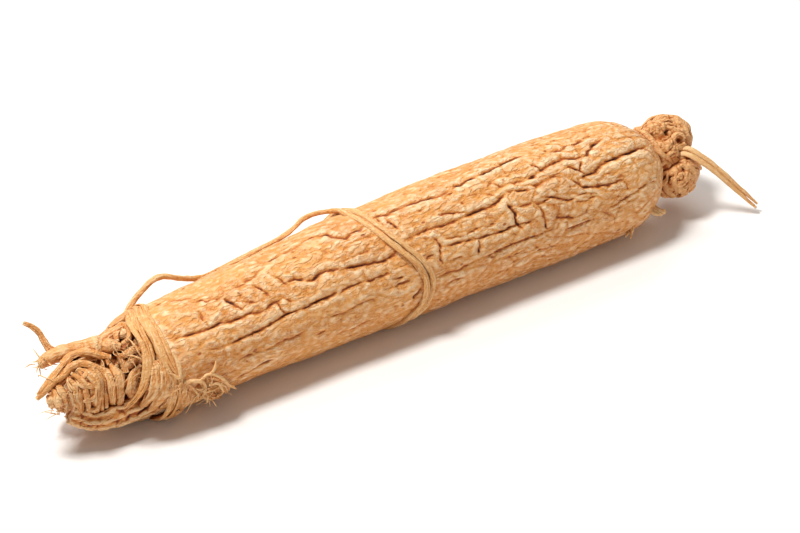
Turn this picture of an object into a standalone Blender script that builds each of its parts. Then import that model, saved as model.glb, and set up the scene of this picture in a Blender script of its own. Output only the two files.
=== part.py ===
# A dried ginseng root, lying on its side. It grew in one piece, so it is one solid:
# the furrowed body, the knobbly crown, the bundled legs of the tail and the long rootlets
# that are wound round it. +X runs from the tail to the crown, +Z is up, and the origin is the
# centre of the flat spot that it rests on. Angles round the root start at the top and grow
# towards the near side, which is -Y.
import math

import bmesh
import bpy
from mathutils import Vector, noise

MM = 0.001

# Driving dimensions of the body
BODY_RADIUS = 11.9 * MM
TAIL_END = -71.0 * MM
SHOULDER_END = 63.5 * MM
SHOULDER_START = 49.0 * MM
REST_DEPTH = 0.6 * MM
SIDEWAYS_BOW = 1.3 * MM
# (distance along the root, share of the body's radius), from the tail to the shoulder
BODY_STATIONS = [
    (-71.0 * MM, 0.20),
    (-68.0 * MM, 0.46),
    (-64.0 * MM, 0.66),
    (-60.0 * MM, 0.77),
    (-56.0 * MM, 0.82),
    (-52.0 * MM, 0.87),
    (-40.0 * MM, 0.90),
    (-27.0 * MM, 0.93),
    (-14.0 * MM, 0.975),
    (8.0 * MM, 0.99),
    (24.0 * MM, 1.00),
    (40.0 * MM, 0.99),
    (49.0 * MM, 0.965),
]

# Relief that drying left in the skin
BODY_RINGS = 54
BODY_COLUMNS = 44
FURROW_DEPTH = 1.2 * MM
FURROW_WANDER = math.radians(7.0)
FURROW_FADE = 5.0 * MM
LOBE_SHARE = 0.022
SMOOTH_UNDERSIDE = 22.0
RING_GROOVES = [
    (-46.0 * MM, 27.0, 0.35 * MM),
    (-33.5 * MM, 30.0, 0.35 * MM),
    (4.8 * MM, 62.0, 0.45 * MM),
    (22.9 * MM, 60.0, 0.55 * MM),
    (28.5 * MM, 60.0, 0.40 * MM),
    (-20.0 * MM, 250.0, 0.40 * MM),
    (12.0 * MM, 285.0, 0.45 * MM),
    (38.0 * MM, 300.0, 0.40 * MM),
]
RING_GROOVE_WIDTH = 1.6 * MM
RING_GROOVE_SPREAD = 45.0

# Crown: the short rhizome that the stem stood on
NECK_RADIUS = 5.0 * MM
UPPER_KNOB = Vector((69.0, 2.4, 2.9)) * MM
UPPER_KNOB_SIZE = Vector((5.7, 5.2, 4.6)) * MM
LOWER_KNOB = Vector((66.8, -2.9, -3.1)) * MM
LOWER_KNOB_SIZE = Vector((5.4, 4.9, 4.6)) * MM
KNOB_RELIEF = 0.8 * MM
SCAR_RADIUS = 1.9 * MM
SCAR_RIM = 0.75 * MM
BUDS = [
    (Vector((72.0, 5.6, 0.0)) * MM, 2.3 * MM),
    (Vector((66.4, 6.6, 1.4)) * MM, 2.4 * MM),
    (Vector((68.6, 2.6, -4.6)) * MM, 2.8 * MM),
    (Vector((64.6, 0.8, 6.2)) * MM, 2.2 * MM),
    (Vector((71.4, -3.0, -2.6)) * MM, 1.9 * MM),
]

# The two ends were measured in the side view: which way it looks round the root, and how far
# it is turned from square to the axis
VIEW_ANGLE = 51.0
VIEW_TURN = math.radians(29.5)
TAIL_TIP = -78.0 * MM

# Rootlets
WRAP_RADIUS = 0.80 * MM
WRAP_PITCH = 1.35 * MM
STRAP_RADIUS = 1.25 * MM
ROOTLET_SINK = 0.35 * MM


def smooth_between(low, high, share):
    """A value that leaves low and reaches high without a corner."""
    eased = share * share * (3 - 2 * share)
    return low + (high - low) * eased


def body_radius(x):
    """The body's mean radius where the root has come to x."""
    if x >= SHOULDER_START:
        reach = (x - SHOULDER_START) / (SHOULDER_END - SHOULDER_START)
        return BODY_STATIONS[-1][1] * BODY_RADIUS * math.sqrt(max(0.0, 1 - min(reach, 1.0) ** 2.3))
    for (x0, share0), (x1, share1) in zip(BODY_STATIONS, BODY_STATIONS[1:]):
        if x <= x1:
            along = max(0.0, (x - x0) / (x1 - x0))
            return BODY_RADIUS * (share0 + (share1 - share0) * along)
    return BODY_RADIUS


def axis_point(x):
    """The root's own axis. It lies so that the underside is level where the body is thick."""
    level = min(max(x, -52.0 * MM), SHOULDER_START)
    bow = SIDEWAYS_BOW * (1 - (x / (70.0 * MM)) ** 2)
    return Vector((x, bow, body_radius(level) - REST_DEPTH))


def outward(angle):
    """The direction from the axis at an angle in degrees from the top, towards the near side."""
    turn = math.radians(angle)
    return Vector((0.0, -math.sin(turn), math.cos(turn)))


def skin_point(x, angle, lift):
    """A point that stands lift above the smooth body."""
    return axis_point(x) + outward(angle) * (body_radius(x) + lift)


def seen_at(base, along, below, near):
    """A point from the side view: mm along from the tail's tip, mm below the axis, mm in front of it."""
    x = (along - math.sin(VIEW_TURN) * near) / math.cos(VIEW_TURN)
    offset = outward(VIEW_ANGLE) * near + outward(VIEW_ANGLE + 90) * below
    return Vector((TAIL_TIP, base.y, base.z)) + (offset + Vector((x, 0.0, 0.0))) * MM


def smooth_route(points, spacing):
    """Points at about even spacing on the smooth curve through the given ones."""
    ends = [points[0] * 2 - points[1], *points, points[-1] * 2 - points[-2]]
    route = []
    for before, start, end, after in zip(ends, ends[1:], ends[2:], ends[3:]):
        steps = max(1, round((end - start).length / spacing))
        for step in range(steps):
            t = step / steps
            route.append(
                start
                + (end - before) * (0.5 * t)
                + (before * 2 - start * 5 + end * 4 - after) * (0.5 * t * t)
                + (start * 3 - before - end * 3 + after) * (0.5 * t * t * t)
            )
    return [*route, points[-1]]


def mesh_object(name, mesh, collection):
    made = bpy.data.objects.new(name, mesh)
    collection.objects.link(made)
    return made


def root_tube(name, points, radius, collection, taper=None, spacing=2.2 * MM, resolution=1):
    """A rootlet or leg along a route. taper gives the share of the radius along it, 0 to 1."""
    route = smooth_route(points, spacing)
    data = bpy.data.curves.new(name, "CURVE")
    data.dimensions = "3D"
    data.bevel_depth = radius
    data.bevel_resolution = resolution
    data.use_fill_caps = True
    spline = data.splines.new("POLY")
    spline.points.add(len(route) - 1)
    for number, (point, place) in enumerate(zip(spline.points, route)):
        point.co = (*place, 1.0)
        point.radius = taper(number / (len(route) - 1)) if taper else 1.0
    curve = bpy.data.objects.new(name, data)
    collection.objects.link(curve)
    bpy.context.view_layer.update()
    graph = bpy.context.evaluated_depsgraph_get()
    mesh = bpy.data.meshes.new_from_object(curve.evaluated_get(graph))
    bpy.data.objects.remove(curve)
    shape = bmesh.new()
    shape.from_mesh(mesh)
    bmesh.ops.remove_doubles(shape, verts=shape.verts, dist=0.00001)
    shape.to_mesh(mesh)
    shape.free()
    return mesh_object(name, mesh, collection)


def lump(name, centre, size, collection, relief=0.0, segments=12, rings=8, stretch=900.0):
    """A rounded lump with an uneven surface: its three half sizes, and how deep the relief is."""
    shape = bmesh.new()
    bmesh.ops.create_uvsphere(shape, u_segments=segments, v_segments=rings, radius=1.0)
    for vertex in shape.verts:
        place = Vector((vertex.co.x * size.x, vertex.co.y * size.y, vertex.co.z * size.z))
        swell = relief * noise.noise((place + centre) * stretch)
        vertex.co = centre + place + vertex.co * swell
    mesh = bpy.data.meshes.new(name)
    shape.to_mesh(mesh)
    shape.free()
    return mesh_object(name, mesh, collection)


def furrow_depth(x, column):
    """Every second column of the body is a furrow, deeper and shallower along the root."""
    if column % 2:
        return -0.25 * FURROW_DEPTH * noise.noise(Vector((x * 60, column * 1.7, 3.1)))
    strength = 0.55 + 0.9 * noise.noise(Vector((x * 45, column * 2.3, 0.4)))
    fade = min(1.0, (SHOULDER_END - x) / FURROW_FADE, (x - TAIL_END) / FURROW_FADE)
    return FURROW_DEPTH * max(0.1, strength) * max(0.0, fade)


def groove_depth(x, angle):
    """Short cracks that run part of the way round."""
    depth = 0.0
    for place, middle, deep in RING_GROOVES:
        across = (x - place) / RING_GROOVE_WIDTH
        turn = (angle - middle + 180) % 360 - 180
        round_it = turn / RING_GROOVE_SPREAD
        depth += deep * math.exp(-across * across - round_it * round_it)
    return depth


def body_profile():
    """Points from the tail's end to the shoulder's, closer together where the body rounds off."""
    points = [(TAIL_END, 0.0)]
    for ring in range(BODY_RINGS):
        share = ring / (BODY_RINGS - 1)
        eased = smooth_between(0.0, 1.0, share) * 0.45 + share * 0.55
        x = TAIL_END + (SHOULDER_END - TAIL_END) * (0.004 + 0.990 * eased)
        points.append((x, body_radius(x)))
    return [*points, (SHOULDER_END, 0.0)]


def make_body(name, collection):
    """The body is turned from its profile, and then each of its points moves in or out by formula."""
    profile = body_profile()
    mesh = bpy.data.meshes.new(name)
    line = [(x, 0.0, radius) for x, radius in profile]
    mesh.from_pydata(line, [(n, n + 1) for n in range(len(line) - 1)], [])
    body = mesh_object(name, mesh, collection)
    turn = body.modifiers.new("turn", "SCREW")
    turn.axis = "X"
    turn.steps = BODY_COLUMNS
    turn.render_steps = BODY_COLUMNS
    turn.use_merge_vertices = True
    turn.merge_threshold = 0.00002
    bpy.context.view_layer.update()
    graph = bpy.context.evaluated_depsgraph_get()
    turned = bpy.data.meshes.new_from_object(body.evaluated_get(graph))
    body.modifiers.clear()
    body.data = turned
    shape = bmesh.new()
    shape.from_mesh(turned)
    for vertex in shape.verts:
        x, y, z = vertex.co
        radius = math.hypot(y, z)
        if radius < 0.05 * MM:
            vertex.co = axis_point(x)
            continue
        turn_angle = math.atan2(-y, z)
        column = round(turn_angle / (2 * math.pi) * BODY_COLUMNS) % BODY_COLUMNS
        wander = FURROW_WANDER * noise.noise(Vector((x * 35, math.cos(turn_angle), math.sin(turn_angle))))
        angle = math.degrees(turn_angle + wander)
        lobes = math.cos(2 * turn_angle + x * 25) + 0.7 * math.cos(3 * turn_angle - x * 40)
        relief = radius * LOBE_SHARE * lobes - furrow_depth(x, column) - groove_depth(x, angle)
        from_below = (angle % 360 - 180) / SMOOTH_UNDERSIDE
        full = min(1.0, radius / (6 * MM)) * (1 - 0.85 * math.exp(-from_below * from_below))
        vertex.co = axis_point(x) + outward(angle) * (radius + relief * full)
    bmesh.ops.recalc_face_normals(shape, faces=shape.faces)
    shape.to_mesh(turned)
    shape.free()
    return body


def make_crown(collection):
    """Neck, two knobs with the scar of a fallen stem, small buds, and the strap that hangs down."""
    base = axis_point(SHOULDER_END)
    centre_height = Vector((0.0, base.y, base.z))
    neck = [Vector((55, 0, 0)) * MM, Vector((61, 0, 0)) * MM, Vector((67, -0.4, 0.2)) * MM]
    root_tube(
        "neck",
        [centre_height + point for point in neck],
        NECK_RADIUS,
        collection,
        taper=lambda t: 1.25 - 0.45 * t,
        spacing=3 * MM,
        resolution=3,
    )
    for name, centre, size in (
        ("upper_knob", UPPER_KNOB, UPPER_KNOB_SIZE),
        ("lower_knob", LOWER_KNOB, LOWER_KNOB_SIZE),
    ):
        lump(name, centre_height + centre, size, collection, KNOB_RELIEF, segments=16, rings=12)
    for number, (centre, radius) in enumerate(BUDS):
        size = Vector((1.15, 1.0, 1.0)) * radius
        lump(f"bud_{number}", centre_height + centre, size, collection, 0.2 * MM, segments=10, rings=7)
    make_stem_scar(centre_height, collection)
    strap = [
        (126.0, -0.6, 2.6),
        (129.6, -0.2, 5.2),
        (132.8, 3.0, 5.6),
        (136.4, 9.0, 5.4),
        (139.0, 14.6, 4.8),
        (140.2, 16.6, 4.6),
    ]
    root_tube(
        "crown_strap",
        [seen_at(centre_height, *place) for place in strap],
        0.95 * MM,
        collection,
        taper=lambda t: 1.0 - 0.3 * t,
        spacing=1.8 * MM,
    )


def make_stem_scar(centre_height, collection):
    """The rim of the cup where last year's stem broke off, on the near face of the upper knob."""
    middle = seen_at(centre_height, 129.2, -3.2, 5.6)
    facing = Vector((0.15, -0.80, 0.55)).normalized()
    side = facing.cross(Vector((1, 0, 0))).normalized()
    along = side.cross(facing)
    around = [
        middle + (along * math.cos(turn) + side * math.sin(turn)) * SCAR_RADIUS
        for turn in (math.radians(30 * step) for step in range(12))
    ]
    root_tube(
        "stem_scar",
        [*around[:11], around[11]],
        SCAR_RIM,
        collection,
        spacing=0.9 * MM,
    )


def make_tail(collection):
    """The legs are folded back on themselves in a bundle: a finger, a curled leg and its folds."""
    base = axis_point(-60 * MM)
    legs = [
        ("finger", 2.0, 0.25, [(20.0, -5.4, 1.0), (15.0, -6.5, 1.4), (8.0, -7.5, 1.2), (1.4, -7.2, 0.6)]),
        ("far_leg", 3.7, 0.35, [(18.0, -1.0, -3.0), (10.0, -1.6, -4.4), (4.0, -1.4, -4.8), (1.4, 1.2, -4.6)]),
        ("low_leg", 3.3, 0.30, [(21.0, 4.6, 1.0), (14.0, 5.6, 0.6), (7.4, 5.2, 0.2), (3.4, 2.6, 0.4)]),
        ("curled_leg", 4.4, 0.10, [(17.0, -1.6, 1.0), (11.0, -1.4, 1.2), (7.2, 0.6, 1.0), (4.8, 1.4, 0.4)]),
        ("rope", 1.0, 0.20, [(-0.2, -1.4, 3.4), (2.7, -3.8, 4.0), (6.0, -5.6, 4.2), (9.1, -6.0, 4.6),
                             (12.4, -5.4, 5.0), (14.3, -3.4, 5.4), (14.8, -0.4, 5.2), (13.7, 3.2, 5.0),
                             (11.9, 5.6, 3.6)]),
        ("fold", 1.25, 0.30, [(0.6, 0.4, 3.2), (3.3, -1.9, 4.4), (6.8, -3.2, 5.2), (9.8, -2.2, 5.6),
                              (11.1, 0.6, 5.6), (10.2, 3.6, 4.8), (8.0, 5.2, 3.4)]),
        ("inner_fold", 1.15, 0.35, [(3.8, 1.8, 4.0), (6.0, 0.0, 5.2), (8.0, 1.2, 5.6), (7.6, 3.6, 4.8)]),
        ("cross_fold", 1.9, 0.20, [(17.0, -2.4, 5.6), (17.6, 1.2, 6.2), (16.6, 4.8, 5.0), (15.4, 7.2, 2.6)]),
    ]
    for name, radius, thinning, places in legs:
        root_tube(
            name,
            [seen_at(base, *place) for place in places],
            radius * MM,
            collection,
            taper=lambda t, thinning=thinning: 1.0 - thinning * t,
            spacing=(1.9 if radius < 1.5 else 3.0) * MM,
            resolution=1 if radius < 1.5 else 2,
        )
    flap = skin_point(-58.6 * MM, 98, 0.1 * MM)
    lump("flap", flap, Vector((4.6, 2.0, 4.0)) * MM, collection, 0.4 * MM)
    fray = skin_point(-49.5 * MM, 106, -0.2 * MM)
    lump("fray", fray, Vector((4.0, 1.4, 2.6)) * MM, collection, 0.6 * MM)


def make_straps(collection):
    """Two flat straps of rootlets that tie the tail, one of them ending in a free point."""
    full = [(-54.6, -70), (-54.2, -34), (-55.6, 11), (-56.0, 45), (-55.4, 76), (-55.6, 108), (-56.4, 150)]
    back = [(-56.6, 190), (-56.2, 230), (-55.4, 262), (-54.8, 290)]
    for side in (-0.55, 0.55):
        root_tube(
            "wide_strap",
            [skin_point((x + side) * MM, angle, 0.1 * MM) for x, angle in [*full, *back]],
            STRAP_RADIUS * 0.85,
            collection,
            spacing=2.6 * MM,
        )
    pointed = [(-57.6, -95), (-57.4, -62), (-57.6, -33), (-59.4, 7), (-60.2, 40), (-61.6, 62), (-64.4, 82)]
    root_tube(
        "pointed_strap",
        [skin_point(x * MM, angle, 0.35 * MM) for x, angle in pointed],
        STRAP_RADIUS,
        collection,
        taper=lambda t: 1.0 - 0.55 * t**3,
        spacing=2.6 * MM,
    )


def make_wrap(collection):
    """One long rootlet. It leaves the tail's straps, arches along the far side and winds round the waist."""
    route = [
        skin_point(-57.6 * MM, -49, -0.8 * MM),
        skin_point(-53.0 * MM, -46, 1.6 * MM),
        skin_point(-47.0 * MM, -42, 3.6 * MM),
        skin_point(-41.0 * MM, -48, 1.4 * MM),
        skin_point(-36.0 * MM, -55, 0.3 * MM),
        skin_point(-27.0 * MM, -50, 0.3 * MM),
        skin_point(-18.0 * MM, -47, 0.6 * MM),
        skin_point(-12.0 * MM, -44, 2.0 * MM),
        skin_point(-7.6 * MM, -36, 1.0 * MM),
    ]
    first_turn = [(-7.4, -14), (-7.0, 8), (-5.4, 28), (-3.0, 46), (-0.2, 64), (1.4, 84), (0.8, 106), (-0.8, 126)]
    under = [(-3.0, 150), (-5.0, 176), (-6.8, 204), (-7.8, 234), (-8.0, 264), (-7.6, 294), (-6.6, 322)]
    shift = WRAP_PITCH / MM
    second_turn = [(x + shift, angle + 360) for x, angle in first_turn]
    lift = WRAP_RADIUS - ROOTLET_SINK
    for x, angle in [*first_turn, *under, *second_turn, (-1.4 + shift, 512)]:
        route.append(skin_point(x * MM, angle, lift if angle < 505 else -WRAP_RADIUS))
    root_tube("long_rootlet", route, WRAP_RADIUS, collection, spacing=2.3 * MM)


def make_stubs(collection):
    """Broken rootlets that still stand out of the skin."""
    for number, (x, angle, lean, length) in enumerate(
        [(53.0, 124, 0.5, 3.4), (57.5, 112, 0.2, 3.0), (-30.0, 205, -0.6, 2.6), (20.0, -64, 0.8, 3.6)]
    ):
        foot = skin_point(x * MM, angle, -1.2 * MM)
        tip_way = (outward(angle) + Vector((lean, 0, 0))).normalized()
        middle = foot + tip_way * (length * 0.6) * MM
        tip = middle + (tip_way + Vector((lean, 0.3, 0.2))).normalized() * (length * 0.6) * MM
        root_tube(f"stub_{number}", [foot, middle, tip], 0.6 * MM, collection, taper=lambda t: 1.0 - 0.4 * t)
    base = axis_point(-60 * MM)
    curl = [(4.4, -7.6, 0.4), (3.6, -10.2, 0.0), (3.9, -13.0, -0.4), (2.4, -15.0, -0.8)]
    root_tube(
        "tail_stub",
        [seen_at(base, *place) for place in curl],
        0.8 * MM,
        collection,
        taper=lambda t: 1.0 - 0.4 * t,
    )


def join_into(body, pieces):
    """One union makes the pieces and the body a single solid, and the loose pieces go."""
    union = body.modifiers.new("grown together", "BOOLEAN")
    union.operation = "UNION"
    union.operand_type = "COLLECTION"
    union.collection = pieces
    union.solver = "EXACT"
    union.use_self = True
    apply_modifiers(body)
    for piece in list(pieces.objects):
        bpy.data.objects.remove(piece)
    bpy.data.collections.remove(pieces)


def fill_pockets(body):
    """Where strands close round a little air, the root is solid instead."""
    shape = bmesh.new()
    shape.from_mesh(body.data)
    bmesh.ops.triangulate(shape, faces=shape.faces)
    waiting = set(shape.faces)
    while waiting:
        shell = [waiting.pop()]
        for face in shell:
            for edge in face.edges:
                for neighbour in edge.link_faces:
                    if neighbour in waiting:
                        waiting.remove(neighbour)
                        shell.append(neighbour)
        corners = [[vertex.co for vertex in face.verts] for face in shell]
        volume = sum(a.dot(b.cross(c)) for a, b, c in corners)
        if volume < 0 or len(shell) < 100:
            bmesh.ops.delete(shape, geom=shell, context="FACES")
    shape.to_mesh(body.data)
    shape.free()


def press_flat(body, cutters):
    """What would lie below the surface that the root rests on is cut off level."""
    shape = bmesh.new()
    bmesh.ops.create_cube(shape, size=1.0)
    for vertex in shape.verts:
        vertex.co = Vector((vertex.co.x * 0.3, vertex.co.y * 0.1, vertex.co.z * 0.02 - 0.01))
    mesh = bpy.data.meshes.new("ground")
    shape.to_mesh(mesh)
    shape.free()
    ground = mesh_object("ground", mesh, cutters)
    ground.hide_render = True
    ground.display_type = "WIRE"
    cut = body.modifiers.new("rest", "BOOLEAN")
    cut.operation = "DIFFERENCE"
    cut.object = ground
    cut.solver = "EXACT"


def apply_modifiers(obj):
    bpy.context.view_layer.update()
    graph = bpy.context.evaluated_depsgraph_get()
    mesh = bpy.data.meshes.new_from_object(obj.evaluated_get(graph))
    obj.modifiers.clear()
    obj.data = mesh


def dried_skin():
    material = bpy.data.materials.new("dried ginseng skin")
    material.use_nodes = True
    shader = material.node_tree.nodes["Principled BSDF"]
    shader.inputs["Base Color"].default_value = (0.61, 0.36, 0.165, 1.0)
    shader.inputs["Roughness"].default_value = 0.72
    shader.inputs["Metallic"].default_value = 0.0
    material.diffuse_color = (0.61, 0.36, 0.165, 1.0)
    return material


def main():
    for obj in list(bpy.data.objects):
        bpy.data.objects.remove(obj)
    ginseng = bpy.data.collections.new("ginseng root")
    pieces = bpy.data.collections.new("pieces")
    cutters = bpy.data.collections.new("cutters")
    for collection in (ginseng, pieces, cutters):
        bpy.context.scene.collection.children.link(collection)
    root = make_body("root", ginseng)
    make_crown(pieces)
    make_tail(pieces)
    make_straps(pieces)
    make_wrap(pieces)
    make_stubs(pieces)
    join_into(root, pieces)
    fill_pockets(root)
    press_flat(root, cutters)
    root.data.materials.clear()
    root.data.materials.append(dried_skin())
    root.data.shade_smooth()
    root.data.set_sharp_from_angle(angle=math.radians(50))


main()
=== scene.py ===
# Dresses the dried ginseng root: wrinkled skin, knobbly crown, folded tail legs and wound rootlets.
# Sizes in the dictionaries are millimetres. x runs from the tail to the crown, and angles go round
# the root in degrees, from the top towards the near side.
import math
from itertools import product

import bpy
import numpy as np
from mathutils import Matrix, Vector
from mathutils.bvhtree import BVHTree


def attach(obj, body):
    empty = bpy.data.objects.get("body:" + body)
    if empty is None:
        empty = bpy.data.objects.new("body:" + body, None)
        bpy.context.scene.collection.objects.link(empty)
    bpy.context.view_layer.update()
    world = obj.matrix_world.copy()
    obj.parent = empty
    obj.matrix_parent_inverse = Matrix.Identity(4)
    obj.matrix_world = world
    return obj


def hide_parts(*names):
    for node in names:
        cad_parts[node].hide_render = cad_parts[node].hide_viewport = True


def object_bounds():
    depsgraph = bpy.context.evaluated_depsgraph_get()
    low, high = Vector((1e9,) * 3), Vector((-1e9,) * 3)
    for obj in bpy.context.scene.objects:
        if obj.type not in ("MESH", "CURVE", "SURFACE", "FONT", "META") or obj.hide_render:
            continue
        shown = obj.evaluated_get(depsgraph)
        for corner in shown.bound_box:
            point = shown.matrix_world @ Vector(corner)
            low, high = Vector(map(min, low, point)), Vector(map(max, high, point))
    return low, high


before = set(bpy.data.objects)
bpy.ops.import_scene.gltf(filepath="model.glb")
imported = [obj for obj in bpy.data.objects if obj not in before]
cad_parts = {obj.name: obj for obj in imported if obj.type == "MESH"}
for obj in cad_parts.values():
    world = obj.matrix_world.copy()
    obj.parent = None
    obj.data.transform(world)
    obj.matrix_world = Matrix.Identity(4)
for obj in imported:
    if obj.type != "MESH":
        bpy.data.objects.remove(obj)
cadBox = [[float(value) for value in corner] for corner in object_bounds()]
mm = 0.001


# ---- shape of the bare root, the same as the solid's

rootForm = {
    "radius": 11.9,
    "stations": (-71, -68, -64, -60, -56, -52, -40, -27, -14, 8, 24, 40, 49),
    "shares": (0.20, 0.46, 0.66, 0.77, 0.82, 0.87, 0.90, 0.93, 0.975, 0.99, 1.0, 0.99, 0.965),
    "shoulderStart": 49.0,
    "shoulderEnd": 63.5,
    "restDepth": 0.6,
    "bow": 1.3,
    "tailTip": -78.0,
    "viewAngle": 51.0,
    "viewTurn": 29.5,
}


def bodyRadius(x):
    x = np.asarray(x, float)
    straight = rootForm["radius"] * np.interp(x, rootForm["stations"], rootForm["shares"])
    reach = (x - rootForm["shoulderStart"]) / (rootForm["shoulderEnd"] - rootForm["shoulderStart"])
    return straight * np.sqrt(np.clip(1 - np.clip(reach, 0, 1) ** 2.3, 0, 1))


def axisPoint(x):
    x = np.asarray(x, float)
    level = np.clip(x, -52.0, rootForm["shoulderStart"])
    bow = rootForm["bow"] * (1 - (x / 70.0) ** 2)
    return np.stack([x, bow, bodyRadius(level) - rootForm["restDepth"]], -1)


def outward(angle):
    turn = np.radians(np.asarray(angle, float))
    return np.stack([np.zeros_like(turn), -np.sin(turn), np.cos(turn)], -1)


def skinPoint(x, angle, lift=0.0):
    return axisPoint(x) + outward(angle) * (bodyRadius(x) + lift)[..., None]


def seenAt(base, along, below, near):
    # a place measured in the side view: along from the tail's tip, below the axis, in front of it
    turn = math.radians(rootForm["viewTurn"])
    x = (along - math.sin(turn) * near) / math.cos(turn)
    around = outward(rootForm["viewAngle"]) * near + outward(rootForm["viewAngle"] + 90) * below
    return np.array([rootForm["tailTip"] + x, base[1], base[2]]) + around


tailBase = axisPoint(-60.0)
crownBase = axisPoint(rootForm["shoulderEnd"])


def smoothRoute(points, spacing):
    # even, smooth steps through given points
    points = np.asarray(points, float)
    ends = np.vstack([2 * points[0] - points[1], points, 2 * points[-1] - points[-2]])
    route = []
    for a, b, c, d in zip(ends, ends[1:], ends[2:], ends[3:]):
        steps = max(1, round(float(np.linalg.norm(c - b)) / spacing))
        t = (np.arange(steps) / steps)[:, None]
        route.append(b + 0.5 * t * (c - a) + 0.5 * t**2 * (2 * a - 5 * b + 4 * c - d)
                     + 0.5 * t**3 * (3 * b - a - 3 * c + d))
    return np.vstack([*route, points[-1:]])


def unit(ways):
    return ways / np.linalg.norm(ways, axis=-1, keepdims=True)


def tangents(route):
    return unit(np.gradient(route, axis=0))


# ---- noise that the relief is made of

def latticeBits(cell, seed):
    mixed = (cell[:, 0] * 73856093) ^ (cell[:, 1] * 19349663) ^ (cell[:, 2] * 83492791) ^ (seed * 40503)
    mixed = mixed & 0xFFFFFFFF
    for shift, factor in ((15, 2246822519), (13, 3266489917)):
        mixed = ((mixed ^ (mixed >> shift)) * factor) & 0xFFFFFFFF
    return mixed ^ (mixed >> 16)


def softNoise(points, seed):
    # smooth noise between about -1 and 1, one bump per unit
    cell = np.floor(points).astype(np.int64)
    local = points - cell
    ease = local**3 * (local * (local * 6 - 15) + 10)
    total = np.zeros(len(points))
    for corner in product((0, 1), repeat=3):
        bits = latticeBits(cell + np.array(corner), seed)
        slope = np.stack([(bits >> shift & 255) / 127.5 - 1 for shift in (0, 8, 16)], 1)
        weight = np.prod(np.where(corner, ease, 1 - ease), axis=1)
        total += weight * ((local - corner) * slope).sum(1)
    return total * 1.4


def crackle(points, seed):
    # distance to the border between two neighbouring cells, and to the nearest cell's middle
    cell = np.floor(points).astype(np.int64)
    nearest = np.full(len(points), 9.0)
    second = nearest.copy()
    for step in product((-1, 0, 1), repeat=3):
        at = cell + np.array(step)
        bits = latticeBits(at, seed)
        middle = at + np.stack([(bits >> shift & 255) / 255 for shift in (0, 8, 16)], 1)
        gap = np.linalg.norm(points - middle, axis=1)
        second = np.minimum(second, np.maximum(nearest, gap))
        nearest = np.minimum(nearest, gap)
    return second - nearest, nearest


# ---- skin of the body

skinForm = {
    "rings": 360,
    "columns": 272,
    "start": -57.2,
    # heights, and sizes along, across and up
    "swaySize": (9, 4, 4),
    "cellLengthTail": 12.0,
    "cellLengthShoulder": 6.0,
    "cellWidth": 3.5,
    "cushionTail": 0.02,
    "cushionShoulder": 0.16,
    "folds": 0.20,
    "foldWidth": 3.0,
    "wrinkles": 0.055,
    "wrinkleLength": 3.6,
    "wrinkleWidth": 1.7,
    "puffs": 0.16,
    "puffSize": (3.6, 2.3, 2.3),
    "peel": 0.085,
    "peelSize": (1.5, 1.1, 1.1),
    "grain": 0.045,
    "grainSize": (0.85, 0.6, 0.6),
    "creaseDepth": 0.80,
    "lip": 0.14,
    "lipAway": 1.2,
    "pit": 0.20,
    "pitSpacing": (3.0, 1.8, 1.8),
    "pitRadius": 0.15,
    "swell": 0.30,
    "swellSize": (13, 7, 7),
    "lobes": 0.022,
    "inset": 0.05,
    "calmBelow": 20.0,
}
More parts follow.
